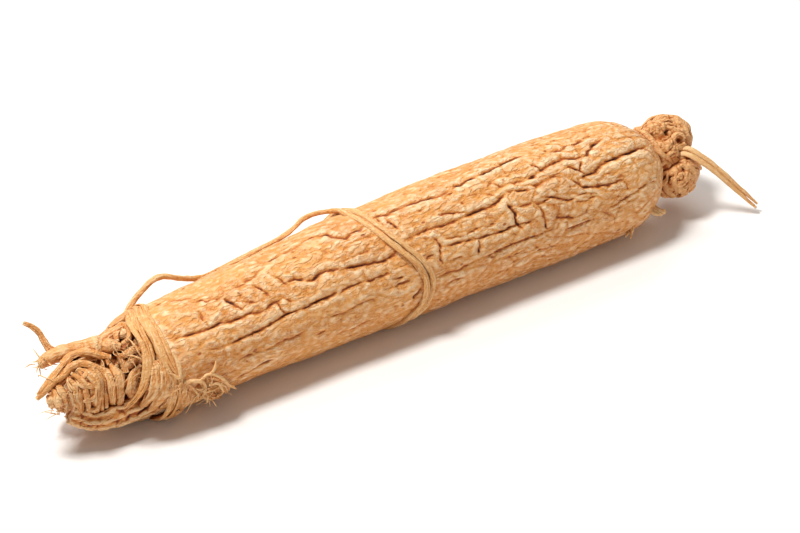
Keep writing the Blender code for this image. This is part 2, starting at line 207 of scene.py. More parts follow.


# creases as (depth, half width, route as x and angle). The near side's were followed one by one, and the
# far side's, past 145 degrees, are made up.
creaseLines = [
    (0.75, 0.42, [(-54.1, 34), (-51.2, 38), (-49.1, 41), (-46.3, 42), (-43.8, 42), (-41.9, 44),
        (-39.9, 45), (-37.9, 45), (-35.9, 47), (-34, 47), (-32.5, 46), (-30.9, 45), (-29.7, 42)]),
    (0.7, 0.4, [(-48.5, 62), (-45.6, 64), (-42.8, 65), (-39.7, 64), (-36.6, 65), (-34.1, 64), (-32, 62),
        (-29.8, 61), (-27.3, 61), (-24.9, 61), (-22.4, 61), (-19.3, 61), (-16.9, 61), (-14.4, 61),
        (-12.5, 61)]),
    (0.55, 0.34, [(-12.1, 63), (-10.6, 63), (-8.7, 63), (-6.5, 63)]),
    (0.3, 0.3, [(-49.3, -11), (-47.4, -4), (-45.2, 1)]),
    (0.5, 0.34, [(-45.8, 8), (-44.3, 8), (-43.6, 13), (-42.4, 13), (-41.9, 16), (-40.3, 16)]),
    (0.5, 0.34, [(-37.9, 11), (-36.7, 13), (-35.2, 13), (-34, 11), (-32.5, 11), (-31.2, 7), (-29.7, 6)]),
    (0.4, 0.3, [(-29.4, 0), (-28.3, 1), (-26.8, 0), (-25.1, -2), (-23.5, 0), (-21.3, -1), (-18.9, -4),
        (-16.6, -2), (-14.7, 2)]),
    (0.3, 0.26, [(-25.7, -8), (-22.8, -6), (-19.4, -9), (-17.2, -5)]),
    (0.7, 0.34, [(-40.4, 18), (-39.8, 24), (-39.5, 29), (-38.9, 34), (-38.3, 37), (-37.8, 44)]),
    (0.5, 0.26, [(-34, 17), (-33.6, 21), (-33.1, 25), (-32.6, 31), (-32.2, 38)]),
    (0.5, 0.28, [(-29.4, 20), (-28.6, 24), (-28.2, 30), (-27.9, 34)]),
    (0.4, 0.28, [(-46.7, 15), (-46.5, 21), (-46.4, 26), (-46.4, 35), (-46.3, 43)]),
    (0.4, 0.3, [(-39, 26), (-38, 29), (-36.7, 34), (-35.3, 36)]),
    (0.3, 0.26, [(-46, 54), (-45.6, 60), (-45.5, 67), (-44.5, 79)]),
    (0.55, 0.3, [(-31.1, 45), (-31.2, 50), (-31, 55), (-30.2, 60)]),
    (0.4, 0.28, [(-29.9, 43), (-28.9, 47), (-28.7, 51)]),
    (0.3, 0.26, [(-26.6, 21), (-26.2, 26), (-25.8, 31)]),
    (0.6, 0.34, [(-27.7, 31), (-25.9, 31), (-25, 34), (-24.1, 36)]),
    (0.85, 0.42, [(-24.4, 38), (-22.9, 40), (-21.4, 38), (-19.4, 37), (-18, 40), (-15.1, 43),
        (-12.2, 46), (-9.5, 48), (-6.8, 50), (-4.6, 48), (-3.1, 44)]),
    (0.65, 0.32, [(-42.1, 112), (-40.2, 108), (-38.4, 105), (-36.6, 104), (-34.2, 103)]),
    (0.4, 0.3, [(-42.7, 84), (-38.9, 85), (-35.4, 86), (-32.2, 85), (-29.7, 86), (-27.1, 84)]),
    (0.3, 0.26, [(-45.9, 96), (-44, 97), (-42.4, 97)]),
    (0.3, 0.28, [(-22.4, 105), (-19.2, 106), (-15.4, 106), (-11.9, 104)]),
    (0.35, 0.28, [(-26.1, 94), (-24.4, 95), (-22.6, 95)]),
    (0.3, 0.28, [(-21.7, 81), (-18.5, 83), (-14.9, 80), (-10.5, 81)]),
    (0.6, 0.36, [(-17.3, -1), (-14.8, 1), (-14.3, 8), (-13.2, 12), (-12, 15), (-10.3, 13), (-8.9, 12),
        (-7.1, 11)]),
    (0.35, 0.28, [(-14.7, 18), (-12.2, 18), (-9.7, 18)]),
    (0.6, 0.36, [(-4.9, 4), (-3.7, 5), (-1.6, 7), (1.1, 7), (4.3, 7), (6.4, 9), (8.5, 10), (10.5, 12),
        (12.3, 10), (13.8, 8)]),
    (1, 0.44, [(12.9, 10), (14.4, 7), (15.4, 8), (17.3, 5), (19.4, 6), (21.1, 6), (22, 5), (24.4, 3),
        (27.4, 1), (30.4, -1), (33.4, 2)]),
    (0.4, 0.28, [(9.7, 15), (12.2, 14), (14.2, 13)]),
    (0.4, 0.26, [(-3.7, 6), (-4.2, 14)]),
    (0.45, 0.28, [(-2.3, 7), (-2.3, 18), (-1.8, 26), (-1.5, 33)]),
    (0.35, 0.26, [(-18, 21), (-15.9, 24), (-13.7, 25), (-11.8, 22), (-9.6, 23), (-6.4, 24)]),
    (0.3, 0.26, [(-16.1, 35), (-13.7, 36), (-11.1, 36), (-8.6, 35)]),
    (0.7, 0.38, [(-1.2, 40), (0.7, 39), (3.7, 38), (5.9, 39), (7.5, 40), (10.2, 40), (13, 40),
        (15.2, 39), (17.9, 40), (20.1, 39), (21.7, 36), (22.8, 33)]),
    (0.5, 0.3, [(6.7, 30), (10, 31), (12, 34), (13.6, 38)]),
    (0.6, 0.3, [(4.2, 46), (5, 51), (5.2, 57), (4.6, 65), (4.5, 70), (5, 75)]),
    (0.65, 0.34, [(5.2, 57), (7.5, 60), (9.7, 61), (11.6, 62), (13.5, 63), (15.7, 64), (18.5, 66),
        (20.6, 65), (23.1, 66), (25.6, 67), (28.4, 64)]),
    (0.4, 0.28, [(5.8, 51), (7.9, 54), (10.9, 56), (13.8, 55), (16.7, 57), (19.8, 57)]),
    (0.65, 0.3, [(13.4, 63), (13.7, 68), (13.4, 74), (12.9, 81)]),
    (0.45, 0.28, [(1.3, 63), (3.6, 63)]),
    (0.45, 0.28, [(-4.8, 61), (-2.3, 60)]),
    (0.5, 0.32, [(-7.2, 70), (-5.9, 71), (-4.2, 72)]),
    (0.5, 0.32, [(-9.3, 77), (-6.4, 77), (-4.7, 78), (-2.4, 79)]),
    (0.5, 0.32, [(4.3, 86), (8.1, 87), (10.2, 86), (12.6, 84), (15.3, 85), (18.9, 84), (24.2, 83),
        (29.4, 84), (33.1, 82)]),
    (0.7, 0.34, [(-2.7, 99), (-1.3, 96), (-0.7, 90)]),
    (0.35, 0.28, [(4.9, 98), (7, 96), (9.4, 97)]),
    (0.35, 0.28, [(18.5, 95), (21.9, 96), (25.6, 97), (28.3, 96)]),
    (0.35, 0.28, [(2, 44), (3.6, 46)]),
    (0.35, 0.26, [(2.1, 21), (3.6, 22)]),
    (0.35, 0.28, [(5.3, 75), (7.4, 74), (9.7, 76)]),
    (0.45, 0.3, [(19.1, 20), (21.4, 19), (22.8, 26), (25.6, 27), (28.4, 29)]),
    (0.45, 0.3, [(31, 15), (32, 17), (32.7, 21)]),
    (0.65, 0.36, [(28.4, 29), (30.2, 27), (32.9, 24), (35.9, 22), (38.5, 20), (40.1, 24), (42.2, 25),
        (43.6, 25)]),
    (0.5, 0.28, [(37.9, 19), (38.8, 14)]),
    (1.05, 0.38, [(41.9, 25), (43.7, 25), (44.5, 21), (45.6, 18), (46.4, 15), (48.7, 14)]),
    (0.5, 0.3, [(37.1, 7), (39.6, 10), (40.9, 7), (42.7, 8), (45.1, 4), (48.6, 2)]),
    (0.65, 0.32, [(37.8, 29), (39.3, 34), (40.3, 38), (41.3, 43)]),
    (0.45, 0.28, [(41.4, 30), (40.3, 37)]),
    (1, 0.38, [(38.5, 44), (41.2, 44), (43.4, 43), (45, 39), (47.2, 37), (49.1, 36), (51.6, 36),
        (55.3, 34), (58.8, 32)]),
    (0.4, 0.28, [(49.1, 36), (50.2, 41), (50.5, 47)]),
    (0.8, 0.34, [(37.1, 41), (38.6, 48), (39.4, 53), (41.6, 56), (44.1, 59), (47.1, 60), (49.4, 59)]),
    (0.35, 0.26, [(39.7, 47), (42.3, 50), (45.2, 49), (48.5, 51)]),
    (0.35, 0.26, [(44.2, 53), (46.8, 55), (49.7, 54)]),
    (0.55, 0.3, [(28.4, 37), (30.2, 37), (32.5, 35), (35, 33), (36.7, 36)]),
    (0.55, 0.3, [(22.9, 32), (25.3, 35), (28.2, 38)]),
    (1, 0.36, [(21.9, 41), (22.7, 48), (23, 54), (22.9, 59), (23.1, 65), (24, 74)]),
    (0.55, 0.3, [(22.9, 49), (25.7, 50), (28.6, 53), (31.5, 54)]),
    (0.55, 0.28, [(28.6, 54), (28.5, 59), (29.2, 65), (29.2, 75), (29.5, 84)]),
    (0.55, 0.3, [(29.3, 48), (31.4, 51), (33.3, 56), (35.5, 61), (37.3, 62)]),
    (0.8, 0.32, [(31.6, 72), (33.6, 76), (35.1, 79), (36.2, 82)]),
    (0.4, 0.26, [(32.4, 44), (33.6, 48), (33.4, 53)]),
    (0.45, 0.28, [(36.2, 49), (37.8, 50)]),
    (0.35, 0.26, [(36.7, 65), (39.3, 67), (41.9, 66)]),
    (0.35, 0.26, [(37.2, 59), (40.4, 61), (42.4, 64)]),
    (0.45, 0.28, [(42.6, 84), (45.5, 82), (49.2, 78), (52.7, 74), (56.5, 74)]),
    (0.35, 0.26, [(43.6, 88), (47.8, 85), (51.2, 81)]),
    (0.4, 0.28, [(33.3, 89), (37.2, 89), (40.7, 88)]),
    (0.35, 0.26, [(20.5, 104), (23.8, 102), (27.4, 101), (32.1, 103)]),
    (0.4, 0.26, [(48.5, 60), (49.4, 66), (49.5, 73)]),
    (0.35, 0.24, [(51.6, 37), (52.7, 42), (53.6, 46)]),
    (0.35, 0.24, [(56.7, 35), (58.5, 42)]),
    (0.3, 0.24, [(49.3, 47), (52.3, 48), (55.6, 45)]),
    (0.4, 0.26, [(22.4, -17), (26.9, -18), (31.5, -19)]),
    (0.35, 0.26, [(50.4, 17), (52.9, 20), (56.3, 19)]),
    (0.65, 0.4, [(-54, 150), (-42, 148), (-30, 153), (-18, 150), (-8, 152)]),
    (0.6, 0.38, [(-2, 146), (10, 149), (22, 145), (36, 150), (48, 146)]),
    (0.7, 0.42, [(-55, 222), (-44, 226), (-32, 223), (-20, 229), (-12, 226)]),
    (0.6, 0.36, [(-50, 205), (-38, 203), (-26, 207)]),
    (0.75, 0.42, [(-52, 246), (-40, 244), (-28, 250), (-14, 247), (-2, 252), (10, 248)]),
    (0.65, 0.38, [(-4, 231), (6, 228), (18, 232), (30, 229)]),
    (0.8, 0.42, [(-50, 270), (-38, 273), (-24, 268), (-12, 272)]),
    (0.75, 0.4, [(-6, 268), (6, 271), (16, 266), (28, 269), (40, 264), (50, 267)]),
    (0.7, 0.4, [(-53, 294), (-42, 291), (-30, 296), (-18, 292), (-6, 297), (4, 294)]),
    (0.7, 0.38, [(12, 290), (22, 294), (34, 289), (46, 292)]),
    (0.6, 0.36, [(-48, 312), (-36, 315), (-22, 311), (-10, 316)]),
    (0.6, 0.36, [(0, 314), (14, 318), (26, 313), (40, 316)]),
    (0.5, 0.3, [(-12.4, 250), (-12, 268), (-12.8, 290)]),
    (0.5, 0.3, [(18, 262), (18.6, 280), (17.8, 300)]),
    (0.45, 0.3, [(34, 230), (34.6, 248), (34, 262)]),
    (0.45, 0.3, [(-34, 270), (-33.4, 284), (-34.2, 296)]),
    (0.45, 0.3, [(6, 294), (6.8, 306), (6.2, 318)]),
    (0.4, 0.3, [(44, 268), (44.6, 284), (44, 300)]),
]


def marked(lines, x, angle):
    # how deep these lines cut, and where their raised lips are
    depth = np.zeros_like(x)
    lips = np.zeros_like(x)
    scale = np.maximum(bodyRadius(x), 3.0) * math.pi / 180
    for deep, width, route in lines:
        nearest = np.full_like(x, 99.0)
        share = np.zeros_like(x)
        for number, ((x0, a0), (x1, a1)) in enumerate(zip(route, route[1:])):
            turn = (angle - a0 + 180) % 360 - 180
            stepX, stepY = x1 - x0, (a1 - a0) * 0.2
            offX, offY = x - x0, turn * scale
            t = np.clip((offX * stepX + offY * stepY) / (stepX**2 + stepY**2), 0, 1)
            gap = np.hypot(offX - t * stepX, offY - t * (a1 - a0) * scale)
            share = np.where(gap < nearest, (number + t) / (len(route) - 1), share)
            nearest = np.minimum(nearest, gap)
        strength = deep * np.clip(share * 5 + 0.2, 0, 1) * np.clip((1 - share) * 5 + 0.2, 0, 1)
        cut = 0.42 * np.exp(-nearest / (3.2 * width)) + 0.58 * np.exp(-((nearest / (0.75 * width)) ** 2))
        depth = np.maximum(depth, strength * cut)
        lips = np.maximum(lips, strength * np.exp(-(((nearest - skinForm["lipAway"]) / 0.7) ** 2)))
    return depth, lips


def creased(points, seed, sharpness):
    # rounded folds with thin creases between them
    return 1 - np.exp(-np.abs(softNoise(points, seed)) / sharpness)


def skinRelief(x, angle):
    form = skinForm
    turn = np.radians(angle)
    radius = bodyRadius(x)
    y, z = -np.sin(turn) * radius, np.cos(turn) * radius
    place = np.stack([x, y, z], 1)
    sway = np.stack([softNoise(place / form["swaySize"], seed) for seed in (1, 2, 3)], 1)

    # cushions between crossing cracks, shorter and higher towards the shoulder
    shoulder = np.clip((x + 15) / 35, 0, 1)
    lengths = np.linspace(-80, 80, 400)
    share = np.clip((lengths + 20) / 40, 0, 1)
    cells = np.cumsum(0.4 / (form["cellLengthTail"] * (1 - share) + form["cellLengthShoulder"] * share))
    along = np.interp(x, lengths, cells)
    cellPlace = np.stack([along, y / form["cellWidth"], z / form["cellWidth"]], 1) + 0.35 * sway
    border, _ = crackle(cellPlace, 11)
    cushion = form["cushionTail"] + (form["cushionShoulder"] - form["cushionTail"]) * shoulder
    relief = cushion * (1 - np.exp(-border / 0.07))

    # puffy folds and finer wrinkles, stronger where no crease is listed
    uneven = np.clip(0.5 + 0.9 * softNoise(place / (16, 6, 6), 13), 0.05, 1.1)
    patchy = np.clip(0.55 + 1.1 * softNoise(place / (10, 5, 5), 26), 0.1, 1.2)
    seen = np.clip((95 - np.abs((angle - 48 + 180) % 360 - 180)) / 20, 0, 1)
    foldPlace = np.stack([along * 1.1, y / form["foldWidth"], z / form["foldWidth"]], 1) + 0.30 * sway
    folds = creased(foldPlace, 14, 0.07) - 0.85
    relief += form["folds"] * folds * (0.3 + 0.9 * uneven) * (1 - 0.62 * seen)
    wrinkleLength = form["wrinkleLength"] - 1.2 * shoulder
    wrinklePlace = np.stack([x / wrinkleLength, y / form["wrinkleWidth"], z / form["wrinkleWidth"]], 1)
    wrinkles = creased(wrinklePlace + 0.6 * sway, 27, 0.10) - 0.8
    relief += form["wrinkles"] * wrinkles * np.clip(1.5 * patchy - 0.3, 0.1, 1.4)
    relief += form["puffs"] * softNoise(place / form["puffSize"], 30)
    relief += form["peel"] * softNoise(place / form["peelSize"], 24)

    # the creases, with their routes bent a little so that they aren't ruled lines
    bentX = x + 0.30 * softNoise(place / 1.6, 15) + 0.12 * softNoise(place / 0.7, 31)
    bent = 0.26 * softNoise(place / (2.4, 1.5, 1.5), 16) + 0.16 * softNoise(place / (0.9, 0.7, 0.7), 29)
    bentAngle = angle + np.degrees(bent / np.maximum(radius, 3.0))
    cuts, lips = marked(creaseLines, bentX, bentAngle)
    rough = np.clip(0.85 + 0.8 * softNoise(place / (3.2, 1.6, 1.6), 17), 0.3, 1.3)
    relief -= form["creaseDepth"] * cuts * rough
    relief += form["lip"] * lips

    relief += form["grain"] * softNoise(place / form["grainSize"], 20)
    _, pitGap = crackle(place / form["pitSpacing"], 21)
    pitted = softNoise(place / (7, 4, 4), 22) > 0.0
    relief -= form["pit"] * np.exp(-((pitGap / form["pitRadius"]) ** 2)) * pitted

    lobes = radius * form["lobes"] * (np.cos(2 * turn + x * 0.025) + 0.7 * np.cos(3 * turn - x * 0.040))
    swell = form["swell"] * softNoise(place / form["swellSize"], 23)
    fromBelow = ((angle % 360) - 180) / form["calmBelow"]
    calm = 1 - 0.7 * np.exp(-fromBelow**2)
    return (relief + swell - form["inset"] + lobes) * calm * np.clip(radius / 4.0, 0.15, 1)


def gridFaces(rings, columns, first, startPole, endPole):
    faces = []
    for ring in range(rings - 1):
        low = first + ring * columns
        high = low + columns
        for column in range(columns):
            after = (column + 1) % columns
            faces.append((low + column, low + after, high + after, high + column))
    last = first + (rings - 1) * columns
    faces += [(startPole, first + (column + 1) % columns, first + column) for column in range(columns)]
    faces += [(endPole, last + column, last + (column + 1) % columns) for column in range(columns)]
    return faces


def meshObject(name, points, faces):
    # points come in millimetres
    mesh = bpy.data.meshes.new(name)
    mesh.from_pydata((np.asarray(points) * mm).tolist(), [], faces)
    mesh.update()
    made = bpy.data.objects.new(name, mesh)
    bpy.context.scene.collection.objects.link(made)
    return made


def readPoints(mesh, kind="co"):
    flat = np.empty(len(mesh.vertices) * 3, np.float32)
    mesh.vertices.foreach_get(kind, flat)
    return flat.reshape(-1, 3).astype(float)


def writePoints(mesh, points):
    mesh.vertices.foreach_set("co", points.astype(np.float32).ravel())
    mesh.update()


def neighbours(mesh):
    flat = np.empty(len(mesh.edges) * 2, np.int32)
    mesh.edges.foreach_get("vertices", flat)
    a, b = flat.reshape(-1, 2).T
    count = len(mesh.vertices)
    return a, b, np.maximum(np.bincount(a, minlength=count) + np.bincount(b, minlength=count), 1)


def softened(points, links, rounds):
    a, b, total = links
    size = len(points)
    for _ in range(rounds):
        sums = np.stack([np.bincount(a, points[b, k], size) + np.bincount(b, points[a, k], size)
                         for k in range(3)], 1)
        points = 0.5 * points + 0.5 * sums / total[:, None]
    return points


def markCreases(obj, fineDepth, broadDepth, fineRounds=10, broadRounds=50):
    # how far each point lies below the skin round it, for the painted shade in the creases and the painted
    # highlight on the ridges
    mesh = obj.data
    points, normals, links = readPoints(mesh), readPoints(mesh, "normal"), neighbours(mesh)
    fine = softened(points, links, fineRounds)
    broad = softened(fine, links, broadRounds)
    crease = ((fine - points) * normals).sum(1) / (fineDepth * mm)
    crease += 0.6 * ((broad - points) * normals).sum(1) / (broadDepth * mm)
    mesh.attributes.new("crease", "FLOAT", "POINT").data.foreach_set("value", crease.astype(np.float32))


def markGapShade(pieces, reach=2.2, strength=2.6):
    # painted shade: points with other folds standing close in front of them are darkened, as shade falls in
    # the gaps
    points, faces, first = [], [], 0
    for piece in pieces:
        mesh = piece.data
        points += readPoints(mesh).tolist()
        faces += [[first + corner for corner in face.vertices] for face in mesh.polygons]
        first += len(mesh.vertices)
    tree = BVHTree.FromPolygons(points, faces)
    rays = np.random.default_rng(2).normal(0, 1, (9, 3))
    rays /= np.linalg.norm(rays, axis=1)[:, None]
    for piece in pieces:
        mesh = piece.data
        place, normal = readPoints(mesh), readPoints(mesh, "normal")
        start = place + normal * 0.10 * mm
        closed = np.zeros(len(place))
        for ray in rays:
            ways = normal + 0.9 * ray
            ways /= np.maximum(np.linalg.norm(ways, axis=1), 1e-6)[:, None]
            for number in range(len(place)):
                gap = tree.ray_cast(start[number], ways[number], reach * mm)[3]
                if gap is not None:
                    closed[number] += 1 - gap / (reach * mm)
        values = np.empty(len(place), np.float32)
        mesh.attributes["crease"].data.foreach_get("value", values)
        values += strength * np.clip(closed / len(rays) - 0.10, 0, 1)
        mesh.attributes["crease"].data.foreach_set("value", values.astype(np.float32))


def keepInside(points):
    low, high = np.array(cadBox[0]) + 0.00002, np.array(cadBox[1]) - 0.00002
    low[2] = 0.0
    return np.clip(points, low, high)


def makeSkin():
    form = skinForm
    xs = np.linspace(form["start"], rootForm["shoulderEnd"], 4000)
    lengths = np.concatenate([[0], np.cumsum(np.hypot(np.diff(xs), np.diff(bodyRadius(xs))))])
    ringX = np.interp(np.linspace(0, lengths[-1], form["rings"] + 1)[:-1], lengths, xs)
    angles = np.arange(form["columns"]) * 360.0 / form["columns"]
    x, angle = [part.ravel() for part in np.meshgrid(ringX, angles, indexing="ij")]
    points = skinPoint(x, angle, skinRelief(x, angle))
    poles = np.stack([axisPoint(form["start"] - 0.5), axisPoint(rootForm["shoulderEnd"])])
    poles[1, 0] -= 0.3
    points = np.vstack([points, poles])
    faces = gridFaces(form["rings"], form["columns"], 0, len(points) - 2, len(points) - 1)
    skin = meshObject("rootSkin", points, faces)
    writePoints(skin.data, keepInside(readPoints(skin.data)))
    markCreases(skin, 0.15, 0.60)
    return skin


# ---- legs and knobs that are fused together

def sweptLeg(route, radii, sides=40, ridges=7, depth=0.12, twist=0.25, seed=1, ragged=0.0):
    # a tube with lengthwise ridges, as a dried leg has
    route = np.asarray(route, float)
    tangent = tangents(route)
    side = np.cross(tangent[0], (0.3, 0.2, 0.93))
    side /= np.linalg.norm(side)
    sideways = []
    for along in tangent:
        side = side - along * side.dot(along)
        side /= np.linalg.norm(side)
        sideways.append(side)
    sideways = np.array(sideways)
    across = np.cross(tangent, sideways)
    travelled = np.concatenate([[0], np.cumsum(np.linalg.norm(np.diff(route, axis=0), axis=1))])
    turn = np.arange(sides) * 2 * math.pi / sides
    radii = spread(radii, len(route))
    grid = np.stack([np.repeat(travelled / 5, sides), np.tile(np.cos(turn) * 1.2, len(route)),
                     np.tile(np.sin(turn) * 1.2, len(route))], 1)
    uneven = softNoise(grid, seed).reshape(len(route), sides)
    lobes = np.cos(ridges * turn[None, :] + twist * travelled[:, None] + 2.2 * uneven)
    radius = radii[:, None] * (1 + depth * lobes + 0.7 * depth * uneven)
    away = (np.cos(turn)[None, :, None] * sideways[:, None, :]
            + np.sin(turn)[None, :, None] * across[:, None, :])
    points = route[:, None, :] + radius[..., None] * away
    if ragged:
        rim = np.stack([np.cos(turn) * 3, np.sin(turn) * 3, np.full(sides, seed * 1.7)], 1)
        torn = softNoise(rim, seed + 5)
        points[-1] += tangent[-1] * (ragged * torn)[:, None]
        points[-2] += tangent[-2] * (0.5 * ragged * torn)[:, None]
    ends = [route[0] - tangent[0] * radii[0] * 0.3, route[-1] + tangent[-1] * (radii[-1] * 0.3 - ragged)]
    return points.reshape(-1, 3), ends, len(route), sides


def knob(centre, size, seed, relief):
    columns = 64
    turns = np.linspace(0, math.pi, 40)[1:-1]
    around = np.arange(columns) * 2 * math.pi / columns
    ring = np.stack([-np.repeat(np.cos(turns), columns), np.outer(np.sin(turns), -np.sin(around)).ravel(),
                     np.outer(np.sin(turns), np.cos(around)).ravel()], 1)
    swell = 1 + relief * 0.2 * softNoise(ring * 1.6, seed) + relief * 0.08 * softNoise(ring * 4, seed + 1)
    points = centre + ring * swell[:, None] * size
    reach = np.array([size[0], 0, 0])
    return points, [centre - reach, centre + reach], len(turns), columns


def plainMesh(made):
    # what the modifier gives, as a mesh of its own, with the modifier gone
    plain = bpy.data.meshes.new_from_object(made.evaluated_get(bpy.context.evaluated_depsgraph_get()))
    made.modifiers.clear()
    made.data = plain
    return plain


def fuse(name, parts, voxel, smoothing):
    # one closed skin round everything, as it grew
    points, faces = [], []
    for grid, poles, rings, columns in parts:
        first = sum(len(p) for p in points)
        points += [grid, np.array(poles)]
        faces += gridFaces(rings, columns, first, first + len(grid), first + len(grid) + 1)
    made = meshObject(name, np.vstack(points), faces)
    wrap = made.modifiers.new("fused", "REMESH")
    wrap.mode = "VOXEL"
    wrap.voxel_size = voxel * mm
    plain = plainMesh(made)
    writePoints(plain, softened(readPoints(plain), neighbours(plain), smoothing))
    return made


def displaced(obj, heights):
    mesh = obj.data
    points, normals = readPoints(mesh), readPoints(mesh, "normal")
    writePoints(mesh, keepInside(points + normals * (heights * mm)[:, None]))


# ---- strands: folds, rootlets and fibres, each swept along its route by Geometry Nodes

strandForm = {
    "step": 0.45,
    "sides": 16,
    "wander": 0.16,
    "wanderSize": 2.6,
    "swell": 0.35,
    "ridgesAround": 0.9,
    "ridgeLength": 6.0,
    "ridgeDepth": 0.30,
    "roughness": 0.6,
    "crease": (0.10, 0.26),
}


def addNode(tree, kind, settings=None, links=None):
    node = tree.nodes.new(kind)
    for name, value in (settings or {}).items():
        setattr(node, name, value)
    for name, value in (links or {}).items():
        if isinstance(value, bpy.types.NodeSocket):
            tree.links.new(value, node.inputs[name])
        else:
            node.inputs[name].default_value = value
    return node


def strandTree():
    # sweeps a ring along each route, with lengthwise ridges, flattened against what it lies on
    tree = bpy.data.node_groups.new("sweep dried strands", "GeometryNodeTree")
    tree.interface.new_socket("Geometry", in_out="OUTPUT", socket_type="NodeSocketGeometry")
    inputs = {"Routes": "Geometry", "Step": "Float", "Sides": "Int", "Wander": "Float",
              "Wander Size": "Float", "Swell": "Float", "Ridges Around": "Float", "Ridge Length": "Float",
              "Ridge Depth": "Float", "Roughness": "Float", "Skin": "Material"}
    for name, kind in inputs.items():
        tree.interface.new_socket(name, in_out="INPUT", socket_type="NodeSocket" + kind)
    given = addNode(tree, "NodeGroupInput").outputs

    def maths(operation, *values):
        return addNode(tree, "ShaderNodeMath", {"operation": operation}, dict(enumerate(values))).outputs[0]

    def vector(operation, first, second):
        other = "Scale" if operation == "SCALE" else 1
        return addNode(tree, "ShaderNodeVectorMath", {"operation": operation}, {0: first, other: second})

    def named(name, kind="FLOAT"):
        node = addNode(tree, "GeometryNodeInputNamedAttribute", {"data_type": kind}, {"Name": name})
        return node.outputs[0]

    def stored(geometry, name, value, kind="FLOAT"):
        return addNode(tree, "GeometryNodeStoreNamedAttribute", {"data_type": kind, "domain": "POINT"},
                       {"Geometry": geometry, "Name": name, "Value": value}).outputs[0]

    def geometry(kind, links, settings=None):
        return addNode(tree, kind, settings, links).outputs[0]

    # each route, a little crooked and with uneven thickness
    place = addNode(tree, "GeometryNodeInputPosition").outputs[0]
    spline = addNode(tree, "GeometryNodeSplineParameter").outputs
    curve = geometry("GeometryNodeMeshToCurve", {"Mesh": given["Routes"]})
    curve = geometry("GeometryNodeResampleCurve", {"Curve": curve, "Length": given["Step"]},
                     {"mode": "LENGTH"})
    noise = addNode(tree, "ShaderNodeTexNoise", None,
                    {"Vector": place, "Scale": maths("DIVIDE", 1.0, given["Wander Size"]), "Detail": 2.0})
    aside = vector("SUBTRACT", noise.outputs[1], (0.5, 0.5, 0.5)).outputs[0]
    aside = vector("SCALE", aside, given["Wander"]).outputs[0]
    curve = geometry("GeometryNodeSetPosition", {"Geometry": curve, "Offset": aside})
    swollen = maths("MULTIPLY_ADD", maths("SUBTRACT", noise.outputs[0], 0.5), given["Swell"], 1.0)
    curve = stored(curve, "centre", place, "FLOAT_VECTOR")
    curve = stored(curve, "along", spline["Length"])
    curve = stored(curve, "thick", maths("MULTIPLY", named("thick"), swollen))
    ring = geometry("GeometryNodeCurvePrimitiveCircle", {"Resolution": given["Sides"], "Radius": 1.0},
                    {"mode": "RADIUS"})
    ring = stored(ring, "around", spline["Factor"])
    swept = geometry("GeometryNodeCurveToMesh",
                     {"Curve": curve, "Profile Curve": ring, "Scale": named("thick"), "Fill Caps": True})

    # lengthwise ridges from a noise that is drawn out along the strand
    turn = maths("MULTIPLY", named("around"), 2 * math.pi)
    across = maths("MULTIPLY", maths("COSINE", turn), given["Ridges Around"])
    up = maths("MULTIPLY", maths("SINE", turn), given["Ridges Around"])
    apart = maths("MULTIPLY", named("seed"), 31.7)
    lengthwise = maths("ADD", maths("DIVIDE", named("along"), given["Ridge Length"]), apart)
    where = addNode(tree, "ShaderNodeCombineXYZ", None, {0: lengthwise, 1: across, 2: up}).outputs[0]
    ridges = addNode(tree, "ShaderNodeTexNoise", None,
                     {"Vector": where, "Scale": 1.0, "Detail": 3.0, "Roughness": given["Roughness"]})
    middle = maths("SUBTRACT", ridges.outputs[0], 0.5)
    height = maths("MULTIPLY_ADD", maths("ABSOLUTE", middle), 6.0, -0.6)
    height = maths("MINIMUM", height, 0.7)
    away = vector("SUBTRACT", place, named("centre", "FLOAT_VECTOR")).outputs[0]
    depth = maths("MULTIPLY", given["Ridge Depth"], named("ridge"))
    away = vector("SCALE", away, maths("MULTIPLY_ADD", height, depth, 1.0)).outputs[0]

    # pressed flat against the root
    facing = named("out", "FLOAT_VECTOR")
    outer = vector("DOT_PRODUCT", away, facing).outputs["Value"]
    pressed = maths("MULTIPLY", outer, maths("SUBTRACT", 1.0, named("flat")))
    away = vector("SUBTRACT", away, vector("SCALE", facing, pressed).outputs[0]).outputs[0]
    target = vector("ADD", named("centre", "FLOAT_VECTOR"), away).outputs[0]
    shaped = geometry("GeometryNodeSetPosition", {"Geometry": swept, "Position": target})
    smooth = geometry("GeometryNodeSetShadeSmooth", {"Geometry": shaped})
    real = geometry("GeometryNodeRealizeInstances", {"Geometry": smooth})
    done = geometry("GeometryNodeSetMaterial", {"Geometry": real, "Material": given["Skin"]})
    addNode(tree, "NodeGroupOutput", None, {0: done})
    return tree


def spread(values, count):
    return np.interp(np.linspace(0, 1, count), np.linspace(0, 1, len(values)), values)


def outwardFrom(route, middle=None):
    # the way out from the root's axis, or from the middle of a knob
    out = route - (axisPoint(route[:, 0]) if middle is None else middle)
    tangent = tangents(route)
    out = out - tangent * (out * tangent).sum(1)[:, None]
    return out / np.maximum(np.linalg.norm(out, axis=1), 1e-6)[:, None]


def strand(route, radii, flat=1.0, middle=None, ridge=1.0):
    return route, spread(radii, len(route)), outwardFrom(route, middle), flat, ridge


